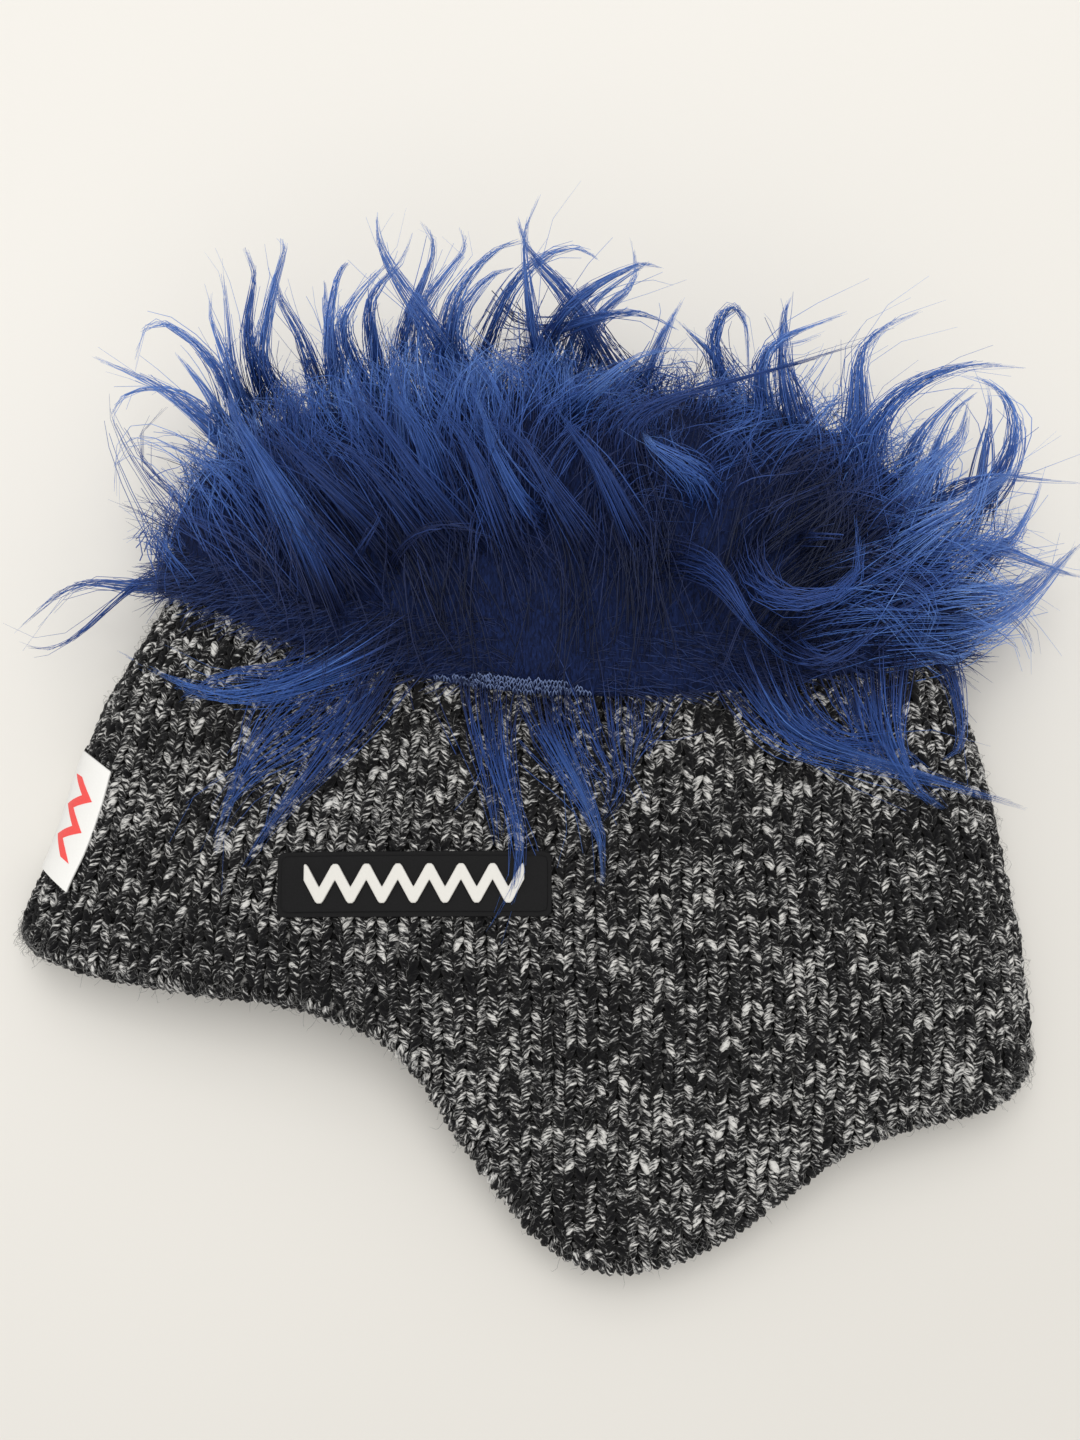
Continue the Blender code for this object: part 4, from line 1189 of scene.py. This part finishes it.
def field_tufts():
    """Tufts all over the upper side that follow the sweep of the fur."""
    count = FIELD_TUFTS
    arc = (np.arange(count) * 0.754877666 + 0.13) % 1.0
    share = (np.arange(count) * 0.569840291 + 0.37) % 1.0
    arc = np.clip(arc + chance.normal(0.0, 0.02, count), 0.015, 0.985)
    up = np.sin(0.5 * math.pi * np.clip(0.04 + 0.94 * share, 0.0, 1.0))
    across = across_at(arc, 0.06, False)
    root, out = pelt_point(across, up, False, 0.30 * PILE)
    heading = value_between(SWEEP, across, 1) * mix(1.0, 0.75, up) + chance.normal(0.0, 11.0, count)
    rise = mix(10.0, 2.0, up ** 2) + chance.normal(0.0, 5.0, count)
    # shorter towards the top and the front, at the far edge behind the middle, and low at the back
    length = chance.uniform(*FIELD_LENGTHS, count) * mix(0.95, 0.36, up ** 1.3)
    length = length * mix(0.24, 1.0, rising(across, 0.0, 0.22)) * mix(1.0, 0.86, rising(across, 0.8, 0.2))
    behind_middle = rising(across, 0.50, 0.12) * falling(across, 0.90, 0.08)
    length = length * (1.0 - 0.34 * behind_middle * rising(up, 0.25, 0.4))
    length = length * (1.0 - 0.42 * rising(across, 0.84, 0.1) * falling(up, 0.45, 0.3))
    first = unit(heading_vectors(heading, rise + 8.0) + 0.30 * out)
    turn = chance.normal(0.0, 26.0, count)
    second = heading_vectors(heading + turn, rise - 14.0)
    third = heading_vectors(heading + 2.0 * turn, rise - 26.0)
    curves = over_the_cloth(tuft_curves(root, length, (first, second, third)), TUFT_CLEARANCE)
    # paler towards the top and at both ends, darker behind the middle: partly the hair's own tone, partly painted
    # light where light falls on and through the fur and painted shade where less falls
    pale = mix(-0.04, 0.36, smooth_step(up * 1.05)) - 0.12 * rising(across, 0.30, 0.3)
    pale = pale + 0.50 * rising(across, 0.76, 0.14)
    pale = pale + 0.24 * falling(across, 0.16, 0.12) + chance.normal(0.0, 0.09, count)
    hairs = np.round(FIELD_STRANDS * mix(1.0, 0.6, rising(across, 0.80, 0.1))).astype(int)
    return curves, chance.uniform(0.8, 1.25, count), hairs, pale


def under_tufts():
    """Tufts round the lower side and the back of the crown, spread flat by the cap's weight."""
    count = UNDER_TUFTS
    across = np.clip((np.arange(count) * 0.618034 + 0.05) % 1.0, 0.02, 0.98)
    up = 0.95 - 1.4 * np.abs(2.0 * across - 1.0) ** 3 - chance.uniform(0.0, 0.5, count)
    root, _ = pelt_point(across, np.clip(up, 0.25, 0.97), True, 0.35 * PILE)
    heading = value_between(SWEEP, across, 1) * 0.95 + chance.normal(0.0, 16.0, count)
    length = chance.uniform(*UNDER_LENGTHS, count)
    turn = chance.normal(0.0, 26.0, count)
    rise = chance.uniform(-2.0, 14.0, count)
    ways = [heading_vectors(heading + bend * turn, rise - drop) for bend, drop in ((0, 0.0), (1, 0.0), (2, 8.0))]
    return tuft_curves(root, length, ways), chance.uniform(0.8, 1.2, count)


def strands(curves, girth, hairs, spread, gather=0.05, wavy=0.00028, sway=0.0, short=0.50, under=False):
    """Hairs for each lock: apart at the root and drawn to a point, with a few that stray from it.

    Spread is how far apart the roots are and gather the share of it that is left at the tip. Wavy and sway are
    how far the hairs wave on their own and together, and short the most that a hair may fall short of the tip.
    """
    owner = np.repeat(np.arange(len(curves)), hairs)
    count = len(owner)
    curve = curves[owner].copy()
    offset = chance.normal(0.0, 1.0, (count, 3)) * spread * girth[owner][:, None]
    loose = (chance.uniform(0.0, 1.0, count) < STRAY_SHARE)[:, None]
    wander = np.where(loose, 1.0, 0.0) * girth[owner][:, None] ** 0.5
    curve[:, 0] += 1.5 * offset
    curve[:, 1] += 0.80 * offset + wander * chance.normal(0.0, STRAY_LOW, (count, 3))
    curve[:, 2] += (0.30 + 0.8 * gather) * offset + wander * chance.normal(0.0, STRAY_HIGH, (count, 3))
    curve[:, 3] += gather * offset + wander * chance.normal(0.0, STRAY_TIP, (count, 3))
    reach = 1.0 - short * chance.uniform(0.0, 1.0, (count, 1)) ** 1.4
    t = np.linspace(0.0, 1.0, STRAND_RINGS)[None, :] * reach
    s = t[..., None]
    paths = bezier(curve, s)
    wave = chance.uniform(0.0, 2.0 * math.pi, (count, 1, 3))
    beat = chance.uniform(0.6, 1.5, (count, 1, 1))
    paths += np.where(loose, STRAY_FRIZZ, wavy)[:, None, :] * np.sin(wave + 2.0 * math.pi * beat * s) * s
    bent = chance.normal(0.0, sway, (len(curves), 1, 3))[owner]
    turned = chance.uniform(0.0, 2.0 * math.pi, (len(curves), 1, 1))[owner]
    paths += bent * np.sin(turned + 2.5 * math.pi * s) * s
    if under:
        paths[..., 2] = np.maximum(paths[..., 2], LOWEST_FUR)
    else:
        paths = over_the_cloth(paths, HAIR_CLEARANCE)
    radii = STRAND_RADIUS * mix(1.0, 0.16, t ** 1.6) * chance.uniform(0.75, 1.25, (count, 1))
    return paths, radii, t, owner


def hair_piece(name, mesh, shade, tone, material):
    piece = mesh_piece(name, *mesh, material, "blue_fur", along=shade, tone=tone)
    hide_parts("fur_crown")


def hair_arrays(paths, radii, shade, tone):
    rings = paths.shape[1]
    return outward(*tubes(paths, radii, 3)), np.repeat(shade, 3, axis=1).reshape(-1), np.repeat(tone, rings * 3)


def make_locks():
    places, girth, hairs, pale = curl_places()
    rows = np.array(CURLS)
    hanging = rows[:, 8] == 0.0
    tall = ((rows[:, 1] < TALL_ROOT_ROW) | (rows[:, 6] > BACK_TIP_COLUMN)) & ~hanging
    feet = tall.sum()
    # painted shade and painted light: the low locks' roots and the feet's roots are painted dark, as shade deep in
    # the fur, the tall locks and their feet paler, as light shines through them, and each hair pales from root to
    # tip
    root_shade = mix(0.14, 0.52 + 0.8 * pale, 1.0 * tall)
    paler = 0.8 * pale + 0.32 * tall
    places = np.concatenate([places, lock_feet(places[tall])])
    girth = np.concatenate([girth * np.where(hanging, 1.2, 1.0), FOOT_GIRTH * girth[tall]])
    hairs = np.concatenate([hairs, np.full(feet, FOOT_STRANDS)])
    paler = np.concatenate([paler, 0.8 * pale[tall] + 0.14])
    root_shade = np.concatenate([root_shade, np.full(feet, FOOT_SHADE)])
    hanging = np.concatenate([hanging, np.full(feet, False)])
    paths, radii, t, owner = strands(cubic_through(places), girth, hairs, LOCK_SPREAD, sway=0.0013, short=0.66)
    radii = radii * np.where(hanging, 0.78, 0.95)[owner][:, None]
    tone = chance.normal(0.0, HAIR_TONES, len(owner))
    shade = mix(root_shade[owner][:, None], 0.48 + 0.24 * t + paler[owner][:, None], smooth_step(t / 0.28))
    hair_piece("long_locks", *hair_arrays(paths, radii, shade, tone), FUR)


def make_field():
    curves, girth, hairs, pale = field_tufts()
    paths, radii, t, owner = strands(curves, girth, hairs, FIELD_SPREAD, gather=0.36, wavy=0.0008, sway=0.0016)
    tone = pale[owner] + chance.normal(0.0, HAIR_TONES, len(owner))
    half = len(owner) // 2
    for number, part in enumerate((slice(0, half), slice(half, None))):
        # each hair is darker at its root, partly painted shade deep in the fur, and the table's painted light and
        # shade are added
        shade = 0.24 + 0.42 * t[part] + painted_light_and_shade_at(paths[part])
        mesh, shade, tones = hair_arrays(paths[part], radii[part], shade, tone[part])
        hair_piece("crown_hair_%d" % (number + 1), mesh, shade, tones, FUR)
    curves, girth = under_tufts()
    paths, radii, t, owner = strands(curves, girth, UNDER_STRANDS, UNDER_SPREAD, under=True)
    # darker at the root, partly painted shade deep in the fur, and a little darker overall
    tone = chance.normal(-0.08, 0.08, len(curves))[owner] + chance.normal(0.0, 0.06, len(owner))
    hair_piece("under_hair", *hair_arrays(paths, radii, 0.15 + 0.60 * t, tone), FUR)


def make_pile():
    """The short dense hair at the fur's rim and beneath the tufts."""
    count = PILE_HAIRS
    arc = chance.uniform(0.01, 0.99, count)
    far = np.arange(count) % 6 == 5
    near_rim = chance.uniform(0.0, 1.0, count) < 0.62
    up = np.where(near_rim, chance.uniform(0.0, 0.22, count), chance.uniform(0.0, 0.95, count))
    starts, outs, ways, ups = [], [], [], []
    for side in (False, True):
        chosen = far == side
        across = across_at(arc[chosen], 0.03, side)
        root, out = pelt_point(across, up[chosen], side, 0.40 * PILE * pile_share(up[chosen]))
        brushed = mix(-112.0, 100.0, rising(across, 0.40, 0.2)) + chance.normal(0.0, 20.0, len(across))
        swept = value_between(SWEEP, across, 1) + chance.normal(0.0, 28.0, len(across))
        starts.append(root)
        outs.append(out)
        ways.append(heading_vectors(np.where(up[chosen] < PILE_RIM_BAND, brushed, swept), np.zeros(len(across))))
        ups.append(up[chosen])
    start, out, way, up = (np.concatenate(rows) for rows in (starts, outs, ways, ups))
    length = chance.uniform(*PILE_LENGTHS, (count, 1)) * np.where(up < PILE_RIM_BAND, 0.9, 1.3)[:, None]
    lean = chance.uniform(0.45, 0.95, (count, 1))
    t = np.linspace(0.0, 1.0, len(PILE_RADII))[None, :, None]
    path = start[:, None, :] + length[:, None, :] * (t * (1 - 0.45 * t)) * (out * (1.05 - lean))[:, None, :]
    path = path + length[:, None, :] * t ** 1.3 * (way * lean)[:, None, :]
    path = path + chance.normal(0.0, 0.0006, (count, 1, 3)) * t ** 2
    upper = np.arange(count) < (~far).sum()
    path[upper] = over_the_cloth(path[upper].copy(), PILE_CLEARANCE)
    path[..., 2] = np.maximum(path[..., 2], LOWEST_FUR)
    radii = np.array(PILE_RADII)[None, :] * np.ones((count, 1))
    # darker at the root, partly painted shade deep in the fur, with the table's painted light and shade added
    along = np.array(PILE_SHADES)[None, :] + painted_light_and_shade_at(path)
    hair_piece("short_pile", *hair_arrays(path, radii, along, chance.normal(0.0, 0.09, count)), PILE_FUR)


def make_backing_loops():
    """The fur's pale knitted backing, where it shows at the rim."""
    shape = 0.001 * np.array(BACKING_LOOP)[None]
    parts = []
    for row in range(BACKING_ROWS):
        arc = np.arange(BACKING_FROM + 0.021 * row, BACKING_TO - 0.012 * row, BACKING_PITCH) + 0.0017 * (row % 2)
        inside = np.minimum(arc - BACKING_FROM + 0.002, BACKING_TO + 0.002 - arc)
        arc = arc[chance.uniform(0.0, 1.0, len(arc)) < 0.55 + 14.0 * inside]
        up = np.full(len(arc), 0.007 + BACKING_ROW_HEIGHT * row) + chance.normal(0.0, 0.002, len(arc))
        centre, out = pelt_point(across_at(arc, 0.03, False), up, False, BACKING_LIFT + 0.0006 * row)
        aside = np.tile([1.0, 0.0, 0.0], (len(arc), 1))
        path = shaken(laid(centre, shape, aside, unit(np.cross(out, aside)), out), BACKING_SHIFT, BACKING_YARN_SHIFT)
        parts.append(outward(*tubes(path, np.full(path.shape[:2], BACKING_YARN), 4, guide=out)))
    piece = mesh_piece("backing_loops", *joined(parts), BACKING, "blue_fur")
    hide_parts("fur_crown")


# The patch and the tag

def clear_selection():
    if bpy.context.object and bpy.context.object.mode != "OBJECT":
        bpy.ops.object.mode_set(mode="OBJECT")
    bpy.ops.object.select_all(action="DESELECT")


def new_grid(name, across, up):
    """A flat unit grid about the origin, as the active object."""
    clear_selection()
    bpy.ops.mesh.primitive_grid_add(x_subdivisions=across, y_subdivisions=up, size=1.0, location=(0, 0, 0))
    grid = bpy.context.active_object
    grid.name = name
    grid.data.name = name
    return grid


def shape_points(piece, place):
    """Moves every point of the flat grid to where place(x, y) says."""
    flat = np.empty(len(piece.data.vertices) * 3, dtype=np.float32)
    piece.data.vertices.foreach_get("co", flat)
    flat = flat.reshape(-1, 3)
    piece.data.vertices.foreach_set("co", place(flat[:, 0], flat[:, 1]).astype(np.float32).ravel())
    piece.data.update()


def finish_piece(piece, thickness, edge, material, node=None):
    """Gives the sheet its wall and rounded edges, applies them and sets the piece on the cap."""
    wall = piece.modifiers.new("wall", "SOLIDIFY")
    wall.thickness = thickness
    wall.offset = 1.0
    rounding = piece.modifiers.new("rounding", "BEVEL")
    rounding.width = edge
    rounding.segments = 3
    rounding.limit_method = "ANGLE"
    rounding.angle_limit = math.radians(50)
    clear_selection()
    piece.select_set(True)
    bpy.context.view_layer.objects.active = piece
    for modifier in list(piece.modifiers):
        bpy.ops.object.modifier_apply(modifier=modifier.name)
    bpy.ops.object.shade_smooth_by_angle(angle=math.radians(40))
    piece.data.materials.clear()
    piece.data.materials.append(material)
    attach(piece, "root")
    if node:
        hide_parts(node)
    return piece


def on_band(x, y, height):
    return np.stack([x, y, upper_height(x, y) + height], axis=-1)


def rounded_cell(x, y, width, depth, corner):
    """Draws the points of a unit grid into a rectangle with rounded corners."""
    px, py = x * width, y * depth
    ix, iy = np.abs(px) - (0.5 * width - corner), np.abs(py) - (0.5 * depth - corner)
    outside = (ix > 0) & (iy > 0)
    reach = np.maximum(ix, iy)
    far = np.hypot(ix, iy)
    pull = np.where(outside & (far > 0), reach / np.maximum(far, 1e-9), 1.0)
    px = np.where(outside, np.sign(px) * (0.5 * width - corner + ix * pull), px)
    py = np.where(outside, np.sign(py) * (0.5 * depth - corner + iy * pull), py)
    return px, py


def make_patch():
    """A thin plate sewn to the band, with a slightly smaller face raised on it."""
    for name, narrower, less_deep, corner, height, thickness in PATCH_PLATES:
        def place(x, y):
            px, py = rounded_cell(x, y, PATCH_WIDTH - narrower, PATCH_DEPTH - less_deep, corner)
            return on_band(PATCH_X + px, PATCH_Y + py, height)

        plate = new_grid(name, 36, 9)
        shape_points(plate, place)
        finish_piece(plate, thickness, PATCH_EDGE, PATCH_BLACK, "side_patch")


def zigzag_rise(x, legs):
    """From 1 to -1 and back again, leg after leg, along a unit grid."""
    at = (x + 0.5) * legs
    leg = np.minimum(np.floor(at), legs - 1)
    share = at - leg
    return np.where(leg % 2 == 0, 1.0 - 2.0 * share, 2.0 * share - 1.0)


def make_zigzag():
    """A raised flat-topped band that zigzags along the patch."""
    legs = 2 * ZIGZAG_PEAKS
    swing = ZIGZAG_DEPTH - 0.5 * ZIGZAG_BAND
    upright = ZIGZAG_BAND / math.cos(math.atan2(swing, ZIGZAG_WIDTH / legs))
    limit = 0.5 * ZIGZAG_DEPTH + ZIGZAG_POINT

    def place(x, y):
        py = np.clip(0.5 * swing * zigzag_rise(x, legs) + y * upright, -limit, limit)
        return on_band(PATCH_X + x * ZIGZAG_WIDTH, PATCH_Y + py, ZIGZAG_HEIGHT)

    zigzag = new_grid("patch_zigzag_band", legs * 8, 3)
    shape_points(zigzag, place)
    finish_piece(zigzag, ZIGZAG_WALL, ZIGZAG_EDGE, PATCH_WHITE, "patch_zigzag")


def tag_place(x, y, lift_off):
    """The tag's sheet folds round the front fold. x runs from the lower side to the upper side."""
    height = TAG_BOTTOM + TAG_LENGTH * (y + 0.5)
    side = 2.0 * x
    reach = np.where(side < 0, TAG_FAR_WIDTH, TAG_NEAR_WIDTH) * (1.0 - np.cos(0.5 * math.pi * np.abs(side)))
    height = height - TAG_SKEW * np.sign(side) * reach / TAG_NEAR_WIDTH
    across = reach / (back_x(height) - front_x(height))
    points = np.where((side < 0)[:, None], cap_point(across, height, True), cap_point(across, height, False))
    centre = np.stack([front_x(height) + FOLD_ROLL, height, fold_height(height)], axis=-1)
    return points + unit(points - centre) * lift_off


def make_tag():
    tag = new_grid("folded_tag", 24, 16)
    shape_points(tag, lambda x, y: tag_place(x, y, TAG_LIFT))
    finish_piece(tag, TAG_WALL, TAG_EDGE, TAG_WHITE, "front_tag")
    mark = new_grid("tag_mark", MARK_LEGS * 8, 3)

    def mark_place(x, y):
        across = MARK_MIDDLE + MARK_SWING * zigzag_rise(x, MARK_LEGS) + y * MARK_BAND
        return tag_place(across, MARK_LENGTH_SHARE * x, MARK_LIFT)

    shape_points(mark, mark_place)
    finish_piece(mark, MARK_WALL, MARK_EDGE, TAG_RED, None)


# The floor, the light and the camera

def make_floor():
    """Pale board with painted light: slightly paler towards the back left, where more light falls, and with faint
    clouds.
    """
    material, nodes, links, shader = new_material("pale_floor")
    places = nodes.new("ShaderNodeTexCoord").outputs["Object"]
    across = nodes.new("ShaderNodeSeparateXYZ")
    links.new(places, across.inputs[0])
    cloud = grain_of(nodes, links, places, Scale=3.0, Detail=2.0, Roughness=0.5)
    tilt = math_node(nodes, links, "MULTIPLY_ADD", across.outputs["X"], -1.1, 0.25)
    slope = math_node(nodes, links, "MULTIPLY_ADD", across.outputs["Y"], 2.4, tilt)
    color_by(nodes, links, shader, math_node(nodes, links, "MULTIPLY_ADD", cloud, 0.3, slope), FLOOR_COLORS)
    set_gloss(shader, 0.7, 0.2)
    clear_selection()
    bpy.ops.mesh.primitive_plane_add(size=FLOOR_SIZE, location=(0, 0, 0))
    floor = bpy.context.active_object
    floor.name = "floor"
    floor.data.materials.append(material)


def area_light(name, place, size, power, color):
    """A round lamp that points at the middle of the floor."""
    data = bpy.data.lights.new(name, "AREA")
    data.shape = "DISK"
    data.size = size
    data.energy = power
    data.color = color
    lamp = bpy.data.objects.new(name, data)
    bpy.context.scene.collection.objects.link(lamp)
    lamp.location = place
    way = np.zeros(3) - np.array(place)
    tilt = math.atan2(math.hypot(way[0], way[1]), -way[2])
    lamp.rotation_euler = (tilt, 0.0, math.atan2(way[0], -way[1]) + math.pi)


def make_light_and_camera():
    world = bpy.data.worlds.new("studio")
    world.use_nodes = True
    background = world.node_tree.nodes["Background"]
    background.inputs["Color"].default_value = WORLD_COLOR
    background.inputs["Strength"].default_value = WORLD_STRENGTH
    bpy.context.scene.world = world
    for lamp in LAMPS:
        area_light(*lamp)
    bpy.context.scene.view_settings.view_transform = "Standard"
    data = bpy.data.cameras.new("camera")
    data.sensor_fit = "VERTICAL"
    data.sensor_height = SENSOR_HEIGHT
    data.lens = CAMERA_LENS
    data.clip_start = 0.01
    camera = bpy.data.objects.new("camera", data)
    bpy.context.scene.collection.objects.link(camera)
    camera.location = CAMERA_PLACE
    camera.rotation_euler = (0.5 * math.pi - CAMERA_RISE, 0.0, 0.0)
    bpy.context.scene.camera = camera


make_light_and_camera()
make_floor()
make_body()
for lower in (False, True):
    make_stitches(lower)
make_hem()
make_fibres()
make_pelt()
make_locks()
make_field()
make_pile()
make_backing_loops()
make_patch()
make_zigzag()
make_tag()
